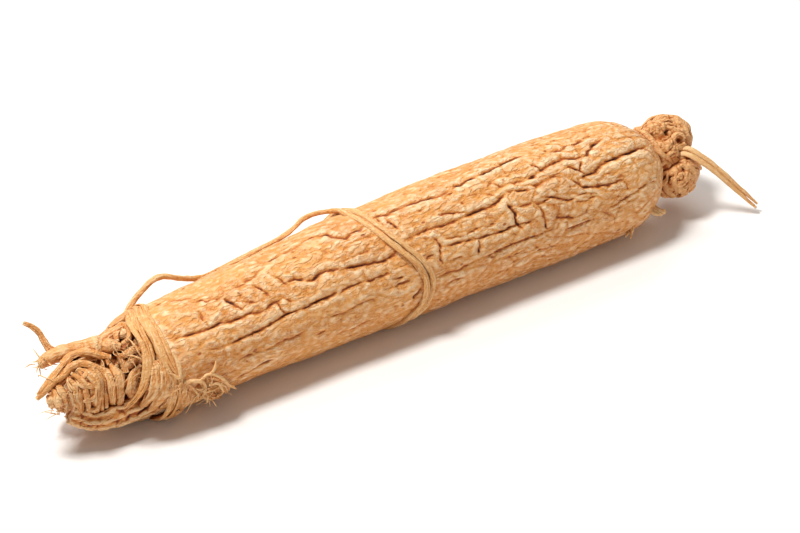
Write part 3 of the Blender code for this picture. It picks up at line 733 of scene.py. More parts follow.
def routeMesh(name, strands):
    # the routes as edges, with what each point has to tell the tree
    points, edges, first = [], [], 0
    told = {"thick": [], "flat": [], "ridge": [], "seed": []}
    for number, (route, thick, _, flat, ridge) in enumerate(strands):
        steps = len(route)
        points.append(route)
        edges += [(first + step, first + step + 1) for step in range(steps - 1)]
        first += steps
        told["thick"].append(thick * mm)
        told["flat"].append(np.full(steps, flat))
        told["ridge"].append(np.full(steps, ridge))
        told["seed"].append(np.full(steps, number + 1.0))
    mesh = bpy.data.meshes.new(name + "Routes")
    mesh.from_pydata((np.vstack(points) * mm).tolist(), edges, [])
    for key, values in told.items():
        values = np.concatenate(values).astype(np.float32)
        mesh.attributes.new(key, "FLOAT", "POINT").data.foreach_set("value", values)
    out = np.vstack([out for _, _, out, _, _ in strands]).astype(np.float32)
    mesh.attributes.new("out", "FLOAT_VECTOR", "POINT").data.foreach_set("vector", out.ravel())
    return mesh


def sweepStrands(name, strands, material, tree, **changes):
    form = {**strandForm, **changes}
    made = bpy.data.objects.new(name, routeMesh(name, strands))
    bpy.context.scene.collection.objects.link(made)
    nodes = made.modifiers.new("strands", "NODES")
    nodes.node_group = tree
    values = {"Step": form["step"] * mm, "Sides": form["sides"], "Wander": form["wander"] * mm,
              "Wander Size": form["wanderSize"] * mm, "Swell": form["swell"], "Skin": material,
              "Ridges Around": form["ridgesAround"], "Ridge Length": form["ridgeLength"] * mm,
              "Ridge Depth": form["ridgeDepth"], "Roughness": form["roughness"]}
    for socket in tree.interface.items_tree:
        if socket.in_out == "INPUT" and socket.name in values:
            nodes[socket.identifier] = values[socket.name]
    bpy.context.view_layer.update()
    plain = plainMesh(made)
    plain.name = name
    for key in ("thick", "flat", "ridge", "seed", "out", "centre", "along", "around"):
        if key in plain.attributes:
            plain.attributes.remove(plain.attributes[key])
    writePoints(plain, keepInside(readPoints(plain)))
    markCreases(made, *form["crease"], 3, 8)
    return made


def besideRoute(route, shift, lift=0.0):
    # the same route moved sideways, square to the root's own radius there
    tangent = tangents(route)
    up = route - axisPoint(route[:, 0])
    up -= tangent * (up * tangent).sum(1)[:, None]
    up = unit(up)
    return route + np.cross(tangent, up) * np.broadcast_to(shift, len(route))[:, None] + up * lift


# ---- crown

crownForm = {
    "upper": (68.8, 2.4, 2.3),
    "upperSize": (5.3, 4.9, 4.3),
    "lower": (66.6, -3.0, -2.4),
    "lowerSize": (5.1, 4.8, 4.9),
    "buds": [((72.0, 5.6, 0.0), 2.2), ((66.4, 6.6, 1.4), 2.3), ((68.6, 2.6, -4.6), 2.7),
             ((64.6, 0.8, 6.2), 2.1), ((71.4, -3.0, -2.6), 1.8), ((64.6, -1.8, 3.0), 3.1)],
    "neck": [(54, 0, 0), (60, 0, 0), (67, -0.4, 0.2)],
    "neckRadius": (6.0, 5.2, 4.0),
    "voxel": 0.22,
    # the stem scar, the collar and the strap are placed as along, below, near
    "scar": (129.5, -1.7, 4.5),
    "scarFacing": (-0.15, -0.77, 0.60),
    "scarRadius": 1.25,
    "scarHollow": 0.9,
    "windings": 46,
    "windingThickness": (0.36, 0.85),
    "furrows": 26,
    "furrowThickness": (0.42, 0.75),
    "furrowTop": (-0.35, -0.35, 0.87),
    "collar": [(122.6, -6.8, 3.6), (123.8, -5.3, 4.8), (124.6, -2.8, 5.6), (125.1, -0.6, 6.0),
               (126.2, 0.5, 5.8)],
    "strap": [(127.8, 0.3, 3.2), (129.9, 0.6, 5.0), (131.6, 2.2, 5.7), (134.0, 5.6, 5.8),
              (136.8, 10.8, 5.2), (139.6, 16.0, 4.6)],
    "strapSide": (0.75, 0.52, 0.42),
    # (sideways share, lift, radius, flatness) of the fibres that make the strap
    "strapFibres": [(-0.58, 0.0, 0.62, 0.7), (0.60, 0.1, 0.66, 0.7), (0.0, -0.35, 0.40, 1.0)],
}
crownLift = np.array([0.0, crownBase[1], crownBase[2]])


def scarPlace():
    facing = np.array(crownForm["scarFacing"])
    return seenAt(crownBase, *crownForm["scar"]), facing / np.linalg.norm(facing)


def makeCrown():
    form = crownForm
    parts = [knob(crownLift + form["upper"], np.array(form["upperSize"]), 31, 0.9),
             knob(crownLift + form["lower"], np.array(form["lowerSize"]), 32, 0.7)]
    for number, (place, radius) in enumerate(form["buds"]):
        parts.append(knob(crownLift + place, np.array([1.15, 1.0, 1.0]) * radius, 33 + number, 0.8))
    neck = smoothRoute(crownLift + form["neck"], 0.7)
    parts.append(sweptLeg(neck, form["neckRadius"], ridges=9, seed=40))
    crown = fuse("crown", parts, form["voxel"], 3)
    place = readPoints(crown.data) / mm
    scar, _ = scarPlace()
    height = 0.45 * creased(place / 2.4, 43, 0.15) + 0.28 * creased(place / 1.2, 45, 0.2) - 0.55
    height += 0.08 * softNoise(place / 0.6, 46)
    cup = np.exp(-((np.linalg.norm(place - scar, axis=1) / form["scarHollow"]) ** 2))
    displaced(crown, height * (1 - 0.6 * cup) - 1.5 * cup)
    markCreases(crown, 0.16, 0.45)
    return crown


def leaning(axis, across, lean, turn):
    # ways that lean from an axis and go round it
    other = np.cross(axis, across)
    return np.cos(lean)[:, None] * axis + np.sin(lean)[:, None] * (
        np.cos(turn)[:, None] * across + np.sin(turn)[:, None] * other)


def scarRing(scar, facing, side):
    turn = np.radians(np.arange(0, 330, 12))
    up = np.cross(side, facing)
    way = np.cos(turn)[:, None] * up + np.sin(turn)[:, None] * side
    rim = scar + 0.35 * facing + crownForm["scarRadius"] * way
    return strand(smoothRoute(rim, 0.3), (0.4, 0.75, 0.6, 0.75, 0.4), 0.9, scar - 4 * facing)


def crownWindings():
    # fibres wound round the stem scar of the upper knob, and furrows down the lower one
    form = crownForm
    rng = np.random.default_rng(5)
    scar, facing = scarPlace()
    side = np.cross(facing, (1.0, 0.0, 0.0))
    side /= np.linalg.norm(side)
    strands = [scarRing(scar, facing, side)]

    upper, size = crownLift + form["upper"], np.array(form["upperSize"])
    middle = scar - upper
    middle /= np.linalg.norm(middle)
    across = np.cross(middle, side)
    across /= np.linalg.norm(across)
    for number in range(form["windings"]):
        tilt = math.radians(30 + 112 * number / form["windings"] + rng.uniform(-6, 6))
        start, run = rng.uniform(0, 360), rng.uniform(45, 150)
        turn = np.radians(np.linspace(start, start + run, 40))
        lean = tilt + rng.uniform(0.05, 0.30) * np.sin(turn * rng.uniform(1, 3) + rng.uniform(0, 6))
        thick = rng.uniform(*form["windingThickness"])
        route = upper + leaning(middle, across, lean, turn) * (size + rng.uniform(-0.25, 0.15))
        strands.append(strand(route, (thick * 0.4, thick, thick * 0.9, thick * 0.3), 0.8, upper))

    lower, size = crownLift + form["lower"], np.array(form["lowerSize"])
    top = np.array(form["furrowTop"])
    top /= np.linalg.norm(top)
    across = np.cross(top, (0.0, 1.0, 0.0))
    across /= np.linalg.norm(across)
    for number in range(form["furrows"]):
        turn = 2 * math.pi * (number + rng.uniform(-0.3, 0.3)) / form["furrows"]
        lean = np.radians(np.linspace(rng.uniform(14, 60), rng.uniform(110, 165), 40))
        wave = turn + 0.30 * np.sin(lean * rng.uniform(2, 4) + rng.uniform(0, 6))
        thick = rng.uniform(*form["furrowThickness"])
        route = lower + leaning(top, across, lean, wave) * (size - 0.12)
        strands.append(strand(route, (thick * 0.4, thick, thick, thick * 0.3), 0.65, lower))

    # a thin leaf between the shoulder and the knobs
    collar = smoothRoute([seenAt(crownBase, *place) for place in form["collar"]], 0.4)
    strands.append(strand(collar, (0.35, 0.65, 0.6, 0.65, 0.4), 0.8, crownLift + (62.0, 0.0, 0.0)))
    return strands


# ---- tail: bulky legs fused with the root's end, and the folds that lie over them

tailForm = {
    "voxel": 0.27,
    # the body's end inside the bundle, and how far it lies under the skin's line
    "coreX": (-55.0, -58.0, -62.0, -66.0, -70.0),
    "coreSunk": (0.4, 1.2, 3.0, 3.2, 2.8),
    # name: (radii along it, ridges, ridge depth, torn end, places as along, below, near)
    "legs": {
        "farLeg": ((3.7, 3.5, 3.0, 2.4), 9, 0.13, 1.2,
                   [(18.0, -1.0, -3.0), (10.0, -1.6, -4.4), (4.0, -1.4, -4.8), (1.4, 1.2, -4.6)]),
        "lowLeg": ((3.4, 3.2, 2.8, 2.2), 9, 0.14, 1.0,
                   [(21.0, 4.6, 1.0), (14.0, 5.6, 0.6), (7.4, 5.2, 0.2), (3.4, 2.6, 0.4)]),
        "curledLeg": ((4.2, 4.1, 4.0, 3.6), 11, 0.10, 0.8,
                      [(17.0, -0.6, 0.6), (11.0, -0.6, 0.8), (7.2, 0.8, 0.6), (4.8, 1.4, 0.2)]),
        "backFold": ((1.2, 1.8, 1.5), 6, 0.14, 0.5,
                     [(20.0, -6.6, -3.6), (14.0, -6.8, -4.2), (7.0, -5.2, -5.0)]),
        "backFoldTwo": ((1.2, 1.7, 1.2), 6, 0.14, 0.5,
                        [(20.0, 1.6, -7.2), (13.0, 2.0, -7.0), (6.0, 2.4, -6.6)]),
        "lowFold": ((1.2, 1.6, 1.1), 6, 0.14, 0.5,
                    [(22.0, 7.4, -3.0), (15.0, 7.6, -3.0), (8.0, 6.2, -2.8)]),
    },
    "hiddenFolds": 13,
    "hiddenX": (-56.5, -60.0, -64.0, -68.0, -71.5),
}

# name: (radii along it, flatness, ridge strength, places as along, below, near)
foldForm = {
    "finger": ((0.8, 1.7, 2.4, 2.3, 2, 1.75, 1.6, 1.2), 0.85, 0.22, [(16.5, -4.9, 5.6),
        (15.4, -5.5, 5.1), (13.7, -6.0, 3.7), (11.5, -6.7, 2.6), (8.8, -7.3, 2.0), (6.0, -7.7, 1.8),
        (3.6, -7.7, 1.4), (1.6, -7.3, 0.9)]),
    "fingerLip": ((0.5, 0.9, 1, 0.9, 0.5), 0.8, 0.5, [(14.3, -3.8, 5.6), (12.4, -4.7, 4.6),
        (10.2, -6.2, 4.4), (8.0, -6.7, 4.2), (5.5, -6.2, 3.8)]),
    "outerRope": ((0.45, 0.7, 0.8, 0.8, 0.8, 0.75, 0.8, 0.85, 0.8, 0.7, 0.5), 0.9, 0.5, [
        (-0.9, -1.6, 2.4), (1.3, -2.5, 3.4), (3.3, -3.6, 4.2), (5.3, -4.0, 4.8), (6.7, -4.6, 5.2),
        (8.1, -4.7, 5.4), (9.5, -4.3, 5.6), (10.5, -3.5, 5.6), (11.3, -2.5, 5.5), (11.5, -1.1, 5.3),
        (11.3, 0.3, 5.0), (10.7, 1.6, 4.5), (10.4, 3.0, 3.8), (9.9, 4.4, 3.0)]),
    "upperRag": ((0.35, 0.7, 0.85, 0.8, 0.3), 0.8, 1.0, [(-0.5, -2.3, 2.6), (1.1, -3.2, 3.4),
        (2.9, -4.0, 4.0), (4.7, -5.0, 4.4), (6.3, -5.8, 4.4), (8.2, -6.3, 4.4), (10.2, -6.2, 4.6)]),
    "behindRope": ((0.6, 1.3, 1.5, 1.3, 0.7), 0.9, 0.8, [(1.1, -2.2, 2.4), (3.3, -3.4, 3.0),
        (6.0, -4.5, 3.4), (8.8, -5.2, 3.6), (11.5, -4.7, 3.8)]),
    "archTwo": ((0.5, 0.75, 0.8, 0.8, 0.75, 0.7, 0.4), 0.95, 0.4, [(9.1, -4.1, 5.4), (10.2, -2.9, 5.6),
        (10.7, -1.5, 5.6), (10.4, 0.1, 5.3), (9.9, 1.7, 4.6), (9.3, 3.6, 3.4), (8.7, 5.2, 1.6)]),
    "archThree": ((0.7, 1.5, 1.95, 1.9, 1.7, 1.2, 0.7), 0.55, 1.0, [(7.9, -4.1, 5.5), (8.9, -2.9, 5.9),
        (9.5, -1.5, 6.0), (9.3, 0.1, 5.8), (8.7, 1.7, 5.0), (8.4, 3.3, 3.9), (7.7, 4.9, 2.2)]),
    "archFour": ((0.3, 0.55, 0.65, 0.5, 0.3), 0.9, 0.4, [(6.7, -3.7, 6.2), (7.6, -2.3, 6.7),
        (8.1, -1.1, 6.8), (7.8, 0.5, 6.3), (7.4, 2.5, 5.3), (6.8, 4.3, 3.5)]),
    "innerLip": ((0.5, 1.3, 1.6, 1.3, 0.5), 0.6, 1.0, [(6.0, -3.4, 5.0), (6.2, -2.0, 5.5),
        (6.7, -0.7, 5.7), (6.5, 0.5, 5.4), (6.2, 1.9, 4.4), (5.7, 3.6, 2.6)]),
    "crumpleOne": ((0.25, 0.55, 0.3), 0.7, 0.9, [(9.9, -3.2, 5.8), (8.7, -2.3, 6.7), (7.3, -1.9, 6.5)]),
    "crumpleTwo": ((0.3, 0.6, 0.6, 0.3), 0.7, 0.9, [(7.0, -2.9, 6.0), (7.5, -1.1, 6.7), (8.8, -0.3, 6.8),
        (9.9, 0.9, 6.1)]),
    "crumpleThree": ((0.3, 0.6, 0.3), 0.7, 0.9, [(9.6, 0.8, 6.0), (8.4, 2.0, 5.8), (6.8, 1.9, 5.6)]),
    "crumpleFour": ((0.3, 0.6, 0.3), 0.7, 0.9, [(6.0, -2.8, 6.0), (6.6, -1.2, 6.4), (5.8, 0.3, 6.0)]),
    "crumpleFive": ((0.3, 0.6, 0.3), 0.7, 0.9, [(9.3, 2.8, 4.9), (8.0, 4.0, 4.3), (6.8, 3.4, 4.5)]),
    "leftFold": ((0.4, 0.85, 0.8, 0.4), 0.6, 0.9, [(3.6, -2.6, 4.2), (3.7, -1.4, 4.5),
        (3.9, -0.3, 4.4), (3.5, 1.1, 3.6)]),
    "leftFoldTwo": ((0.4, 0.8, 0.9, 0.4), 0.8, 0.6, [(2.3, -2.2, 3.6), (2.7, -1.1, 3.9),
        (2.4, 0.0, 3.8), (2.0, 1.1, 3.0)]),
    "leftFoldThree": ((0.35, 0.7, 0.4), 0.8, 0.6, [(1.0, -1.5, 2.8), (1.5, -0.5, 3.2), (1.3, 0.5, 2.6)]),
    "leafOne": ((0.35, 0.7, 0.7, 0.4), 0.7, 0.6, [(11.9, -5.8, 1.9), (12.3, -4.7, 3.4),
        (12.5, -3.6, 4.3), (12.2, -2.7, 4.6)]),
    "leafTwo": ((0.3, 0.7, 0.6, 0.3), 0.7, 0.6, [(12.6, -5.9, 2.6), (13.2, -4.8, 4.1),
        (13.5, -3.6, 5.1), (13.3, -2.5, 5.4)]),
    "leafThree": ((0.5, 0.95, 1.1, 1.0, 0.9, 0.6), 0.8, 0.5, [(11.8, -2.7, 4.4), (12.3, -1.4, 5.4),
        (12.5, 0.3, 5.6), (12.2, 1.6, 5.2), (11.6, 3.3, 3.8), (11.0, 4.9, 1.6)]),
    "leafFour": ((0.4, 0.9, 1.0, 0.9, 0.7, 0.5), 0.8, 0.6, [(13.6, -2.5, 5.4), (13.9, -1.1, 6.1),
        (14.1, 0.4, 6.3), (13.6, 1.9, 5.6), (12.9, 3.6, 4.2), (12.1, 5.2, 1.6)]),
    "leafFive": ((0.3, 0.75, 0.85, 0.7, 0.3), 0.7, 0.5, [(14.9, -0.3, 5.8), (16.1, -1.0, 6.4),
        (17.3, -1.5, 6.8), (18.7, -1.6, 7.0)]),
    "leafSix": ((0.4, 1.0, 1.15, 1.0, 0.4), 0.5, 0.9, [(18.7, -0.3, 7.1), (17.3, 0.7, 7.0),
        (16.2, 1.6, 6.7), (15.5, 2.9, 6.1), (14.7, 4.4, 4.6)]),
    "leafSeven": ((0.3, 0.7, 0.7, 0.4), 0.7, 0.8, [(15.4, -2.7, 6.1), (16.8, -3.3, 6.8),
        (18.4, -3.6, 7.3), (19.5, -3.0, 7.8)]),
    "leafEight": ((0.4, 0.8, 0.8), 0.7, 1, [(15.1, -4.4, 5.0), (15.9, -2.5, 6.1), (15.7, 0.0, 6.3)]),
    "knot": ((0.5, 0.75, 0.7, 0.45), 0.9, 0.7, [(16.2, -6.0, 4.8), (16.5, -7.7, 3.1), (17.9, -8.5, 2.6),
        (19.0, -7.4, 4.8), (18.4, -5.8, 6.1), (17.0, -5.2, 5.7)]),
    "knotHeart": ((0.5, 1.1, 0.6), 0.8, 0.8, [(16.8, -6.6, 3.6), (17.6, -6.9, 4.1), (18.4, -7.1, 3.7)]),
    "topFold": ((0.6, 1.5, 1.5, 0.8), 0.7, 0.6, [(15.4, -8.8, 0.5), (17.3, -9.3, 0.5),
        (19.2, -9.6, 0.5), (21.4, -9.9, 0.5)]),
    "flapOne": ((0.6, 1.4, 1.7, 1.6, 1.2, 0.7), 0.6, 0.8, [(20.9, -0.8, 9.2), (21.0, 1.1, 9.3),
        (20.5, 3.0, 8.8), (19.4, 4.6, 7.9), (17.8, 5.8, 6.4), (15.9, 6.7, 3.8)]),
    "flapTwo": ((0.6, 1.4, 1.7, 1.6, 1.3, 0.8), 0.6, 0.8, [(22.1, -0.3, 9.4), (22.1, 1.7, 9.3),
        (21.7, 3.7, 8.8), (20.6, 5.5, 7.6), (19.1, 6.8, 5.9), (17.0, 7.8, 2.7)]),
    "flapThree": ((0.5, 1.3, 1.5, 1.3, 0.7), 0.6, 0.7, [(23.0, 3.0, 9.0), (23.0, 4.7, 8.5),
        (22.3, 6.2, 7.3), (21.0, 7.4, 5.5), (19.0, 8.5, 1.3)]),
    "flapSix": ((0.6, 1.4, 1.4, 0.8), 0.7, 0.8, [(25.3, 6.6, 7.1), (23.9, 8.2, 5.0), (21.7, 9.5, 0.5),
        (18.7, 10.2, 0.5)]),
    "flapFour": ((0.5, 1.1, 1.3, 1.1, 0.6), 0.7, 0.8, [(24.4, 4.7, 8.6), (24.2, 6.2, 7.7),
        (23.3, 7.4, 6.2), (21.8, 8.5, 3.3), (19.8, 9.3, 0.5)]),
    "rag": ((0.4, 0.9, 0.9, 0.4), 0.8, 1, [(25.3, 7.1, 6.8), (26.4, 8.2, 6.0), (27.7, 9.6, 3.3),
        (29.4, 10.4, 0.5)]),
    "ragTwo": ((0.4, 0.9, 0.9, 0.4), 0.8, 1, [(28.6, 6.3, 7.7), (30.2, 7.4, 7.1), (31.0, 8.8, 5.5),
        (30.8, 10.2, 1.0)]),
    "sprig": ((0.9, 0.65, 0.55, 0.6, 0.4), 1, 1.2, [(4.7, -8.5, 0.5), (3.8, -10.4, 0.0),
        (3.6, -12.4, -0.4), (3.0, -14.0, -0.6), (1.6, -15.4, -0.8)]),
    "leafNine": ((0.4, 0.9, 0.9, 0.4), 0.8, 0.6, [(13.7, 2.7, 5.3), (13.1, 3.8, 4.3), (12.4, 4.7, 3.0),
        (11.4, 5.5, 0.5)]),
    "leafTen": ((0.3, 0.55, 0.55, 0.3), 0.7, 0.5, [(15.0, -2.2, 5.3), (16.2, -2.8, 5.7),
        (17.6, -2.7, 6.4), (19.0, -2.0, 7.0)]),
}

# loose curls by the flap, as (radii along it, places as along, below, near)
tangleForm = {
    "loop": ((0.32, 0.38, 0.32, 0.2), [(24.7, 5.5, 8.7), (26.4, 5.8, 9.2), (28.0, 7.1, 8.5),
        (27.2, 8.8, 6.4), (25.3, 9.6, 4.4)]),
    "loopTwo": ((0.25, 0.36, 0.32, 0.15), [(27.5, 6.3, 8.8), (29.4, 5.8, 9.6), (31.0, 6.9, 9.0),
        (31.9, 8.8, 6.7), (32.7, 10.2, 3.8)]),
    "tip": ((0.2, 0.3, 0.12), [(29.4, 6.0, 9.2), (30.8, 5.2, 10.2), (31.6, 4.1, 10.6)]),
    "loopThree": ((0.22, 0.34, 0.22), [(28.6, 7.7, 7.6), (30.2, 8.0, 7.8), (30.5, 9.6, 5.2),
        (29.1, 10.2, 3.1)]),
    "loopFour": ((0.22, 0.3, 0.2), [(25.5, 6.3, 8.2), (26.1, 8.0, 7.3), (25.8, 9.6, 4.7)]),
    "loopFive": ((0.2, 0.3, 0.15), [(26.4, 7.4, 7.6), (27.7, 8.5, 7.0), (29.4, 8.8, 6.7),
        (31.0, 8.2, 7.3)]),
    "hook": ((0.35, 0.5, 0.42, 0.2), [(25.0, -0.5, 10.6), (25.0, 2.5, 10.4), (24.4, 4.4, 9.8),
        (23.1, 3.0, 9.9)]),
    "ringlet": ((0.12, 0.2, 0.12), [(15.7, -3.8, 6.7), (17.0, -3.0, 7.9), (18.7, -1.9, 8.9),
        (19.5, -0.5, 9.1)]),
    "ringletTwo": ((0.12, 0.2, 0.12), [(18.1, -6.0, 6.7), (18.7, -4.7, 8.0), (19.2, -3.0, 8.8),
        (19.5, -1.4, 9.0)]),
    "ringletThree": ((0.1, 0.16, 0.1), [(16.5, -1.6, 7.5), (17.6, -2.5, 8.1), (19.0, -3.0, 8.5)]),
}


def makeTail():
    form = tailForm
    parts = []
    for number, (radii, ridges, depth, ragged, places) in enumerate(form["legs"].values()):
        route = smoothRoute([seenAt(tailBase, *place) for place in places], 0.45)
        sides = 48 if max(radii) > 2.5 else 26
        parts.append(sweptLeg(route, radii, sides, ridges, depth, 0.3, 50 + number, ragged))
    coreX = np.array(form["coreX"])
    coreRadii = np.maximum(bodyRadius(coreX) - form["coreSunk"], 1.0)
    parts.append(sweptLeg(smoothRoute(axisPoint(coreX), 0.6), coreRadii, 96, 19, 0.05, 0.2, 90))
    tail = fuse("tailLegs", parts, form["voxel"], 2)
    place = readPoints(tail.data) / mm
    height = 0.26 * creased(place / (5.0, 1.6, 1.6), 91, 0.10)
    height += 0.12 * creased(place / (2.4, 0.9, 0.9), 92, 0.15)
    displaced(tail, height - 0.30 + 0.05 * softNoise(place / 0.7, 94))
    markCreases(tail, 0.14, 0.40)
    return tail


def foldStrands():
    form = tailForm
    strands = []
    for radii, flat, ridge, places in foldForm.values():
        route = smoothRoute([seenAt(tailBase, *place) for place in places], 0.3)
        strands.append(strand(route, radii, flat, None, ridge))
    # the folds that the viewer can't see
    rng = np.random.default_rng(3)
    for number in range(form["hiddenFolds"]):
        angle = 172 + 172 * number / (form["hiddenFolds"] - 1)
        x = np.array(form["hiddenX"]) + rng.uniform(-1.2, 0.8)
        route = []
        for at in x:
            turned = np.array(angle + rng.uniform(-9, 9))
            route.append(skinPoint(at, turned, -0.9 + rng.uniform(-0.3, 0.2)))
        thick = rng.uniform(1.0, 1.5)
        radii = (0.5 * thick, thick, thick, 0.8 * thick, 0.4 * thick)
        strands.append(strand(smoothRoute(route, 0.3), radii, 0.8))
    return strands


def tangleStrands():
    return [strand(smoothRoute([seenAt(tailBase, *place) for place in places], 0.3), radii)
            for radii, places in tangleForm.values()]


# ---- long rootlet, straps, stubs and loose fibres

# the long rootlet as (x, angle, lift) at the back and (x, angle) in its turns
wrapForm = {
    "strand": 0.58,
    "thin": 0.27,
    "pitch": 1.50,
    "back": [(-57.6, -49, -0.8), (-53.0, -46, 1.6), (-47.0, -42, 3.6), (-41.0, -48, 1.4), (-36.0, -55, 0.3),
             (-27.0, -50, 0.3), (-18.0, -47, 0.6), (-12.0, -44, 2.0), (-7.6, -36, 1.0)],
    "turn": [(-7.4, -14), (-7.0, 8), (-5.6, 28), (-3.6, 46), (-1.2, 64), (0.2, 84), (-0.5, 106),
             (-2.4, 126)],
    "under": [(-4.2, 150), (-5.6, 176), (-6.8, 204), (-7.8, 234), (-8.0, 264), (-7.6, 294), (-6.6, 322)],
    "firstLift": 0.30,
    "secondLift": 0.36,
    "end": (-1.4, 512, -0.7),
    "twists": 34,
}


def wrapStrands():
    form = wrapForm
    places = list(form["back"])
    places += [(x, angle, form["firstLift"]) for x, angle in form["turn"] + form["under"]]
    places += [(x + form["pitch"], angle + 360, form["secondLift"]) for x, angle in form["turn"]]
    endX, endAngle, endLift = form["end"]
    places.append((endX + form["pitch"], endAngle, endLift))
    # a degree counts as a fifth of a millimetre, about its length on the skin
    flat = smoothRoute([(x, angle * 0.2, lift) for x, angle, lift in places], 0.6)
    route = skinPoint(flat[:, 0], flat[:, 1] * 5, flat[:, 2])
    steps = len(route)
    turn = np.linspace(0, form["twists"], steps) + 1.5 * np.sin(np.linspace(0, 11, steps))
    beside = besideRoute(route, 0.46 * np.cos(turn), 0.12 + 0.30 * np.sin(turn)[:, None])
    radii = (0.70, 0.72, 0.66) + (form["strand"],) * 9
    return [strand(route, radii, 0.85), strand(beside, (form["thin"],) * 2)]


strapForm = {
    # places as (x, angle)
    "wide": [(-54.4, -72), (-53.2, -38), (-55.6, -6), (-56.3, 14), (-56.6, 32), (-56.8, 48),
             (-56.5, 64), (-55.9, 78), (-56.4, 110), (-56.6, 150), (-56.6, 190), (-56.2, 230),
             (-55.4, 262), (-54.8, 288)],
    "pointed": [(-57.4, -95), (-57.2, -66), (-55.5, -35), (-57.9, -3), (-58.8, 16), (-59.2, 31),
                (-59.8, 44), (-60.7, 58), (-61.8, 70), (-63.1, 82), (-64.6, 93), (-65.8, 105)],
    # (sideways share, radius share, flatness) of the ribbons that make one strap
    "ribbons": [(-0.55, 0.62, 0.55), (0.08, 0.74, 0.45), (0.64, 0.54, 0.6), (-0.2, 0.22, 1.0)],
    "wideRadius": (1.0, 1.2, 1.25, 1.15, 1.1, 1.1, 1.0),
    "pointedRadius": (1.0, 1.2, 1.25, 1.2, 1.15, 1.1, 0.95, 0.55, 0.12),
}


def strapStrands():
    strands = []
    for name, seed in (("wide", 1.0), ("pointed", 2.4)):
        flatRoute = smoothRoute([(x, angle * 0.2) for x, angle in strapForm[name]], 0.4)
        half = spread(strapForm[name + "Radius"], len(flatRoute))
        base = skinPoint(flatRoute[:, 0], flatRoute[:, 1] * 5, 0.35)
        way = np.linspace(0, 1, len(flatRoute))
        for number, (aside, share, flat) in enumerate(strapForm["ribbons"]):
            drift = 0.16 * np.sin(way * (13 + 3 * number) + number * 1.9 + seed)
            lift = 0.16 * np.cos(way * (15 - number) + number * 2.3) + (0.40 if share < 0.3 else 0.0)
            route = besideRoute(base, (aside + drift) * half, lift[:, None])
            strands.append(strand(route, half * share, flat))
    return strands


def crownStrands():
    form = crownForm
    route = smoothRoute([seenAt(crownBase, *place) for place in form["strap"]], 0.4)
    spacing = np.linspace(1.1, 0.75, len(route))[:, None]
    middle = np.array([60.0, 6.0, 0.0])
    strands = []
    for shift, lift, radius, flat in form["strapFibres"]:
        beside = route + np.array(form["strapSide"]) * shift * spacing + (0, 0, lift)
        radii = (radius, radius * 1.1, radius, radius * 0.9, radius * 0.5)
        strands.append(strand(beside, radii, flat, middle, 0.6))
    return strands


# (place as x and angle, lean along the root, length, thickness, fibres)
stubForm = [
    ((51.6, 124), -0.4, 3.4, 0.60, 6),
    ((56.6, 114), 0.3, 3.6, 0.70, 8),
    ((-30.0, 205), -0.6, 2.2, 0.45, 4),
    ((20.0, -64), 0.8, 3.0, 0.5, 5),
    ((24.6, 136), 0.9, 1.6, 0.45, 5),
    ((36.3, 136), 0.9, 1.4, 0.35, 3),
    ((2.4, 88), 0.9, 1.5, 0.3, 2),
]


def stubStrands():
    rng = np.random.default_rng(7)
    strands = []
    for (x, angle), lean, length, thick, fibres in stubForm:
        for _ in range(fibres):
            footX = np.array(x) + rng.uniform(-0.5, 0.5)
            footAngle = np.array(angle) + rng.uniform(-3, 3)
            foot = skinPoint(footX, footAngle, -0.8)
            way = outward(angle) + (lean + rng.uniform(-0.25, 0.25), rng.uniform(-0.2, 0.2), 0)
            way /= np.linalg.norm(way)
            bend = way + (lean, 0.3 + rng.uniform(-0.3, 0.3), rng.uniform(-0.2, 0.4))
            bend /= np.linalg.norm(bend)
            size = length * rng.uniform(0.55, 1.0)
            middle = foot + way * size * 0.6
            radius = thick * rng.uniform(0.45, 1.0)
            strands.append(strand(smoothRoute([foot, middle, middle + bend * size * 0.45], 0.3),
                                  (radius, radius * 0.9, radius * 0.55)))
    return strands


# where loose fibres stand: (count, middle as along, below, near, spread, length, thickness)
frayForm = [
    (50, (29.0, 7.6, 6.2), (2.8, 1.8, 0.8), 3.6, 0.09),
    (16, (17.4, -1.0, 8.2), (1.6, 3.0, 0.4), 4.0, 0.07),
    (8, (15.4, -5.2, 6.4), (1.0, 1.4, 0.6), 2.6, 0.08),
    (26, (2.0, -7.2, 1.2), (0.8, 1.6, 1.2), 2.0, 0.12),
    (26, (23.6, 5.0, 8.4), (1.8, 2.2, 0.5), 2.6, 0.08),
    (12, (12.6, 0.6, 6.2), (0.6, 3.4, 0.4), 2.6, 0.07),
    (8, (4.0, 0.4, 4.8), (2.0, 1.6, 0.5), 1.8, 0.07),
    (14, (1.6, 1.4, -4.4), (1.0, 1.6, 1.6), 2.2, 0.10),
]


def frayStrands():
    rng = np.random.default_rng(11)
    strands = []
    for count, middle, spacing, length, thick in frayForm:
        for _ in range(count):
            foot = seenAt(tailBase, *(np.array(middle) + rng.normal(0, 0.5, 3) * spacing))
            out = foot - axisPoint(foot[0])
            out /= np.linalg.norm(out)
            way = rng.normal(0, 1, 3)
            way -= out * (way.dot(out) - 0.25)
            way /= np.linalg.norm(way)
            curl = rng.normal(0, 0.8, 3) - out * 0.3
            size = length * rng.uniform(0.5, 1.1)
            bend = foot + way * size * 0.5
            strands.append(strand(smoothRoute([foot, bend, bend + (way + curl) * size * 0.45], 0.35),
                                  (thick, thick * rng.uniform(0.8, 1.6), thick * 0.5)))
    return strands


# ---- finishes

def colour(hexValue):
    parts = [int(hexValue[place:place + 2], 16) / 255 for place in (1, 3, 5)]
    return (*[part / 12.92 if part <= 0.04045 else ((part + 0.055) / 1.055) ** 2.4 for part in parts], 1.0)
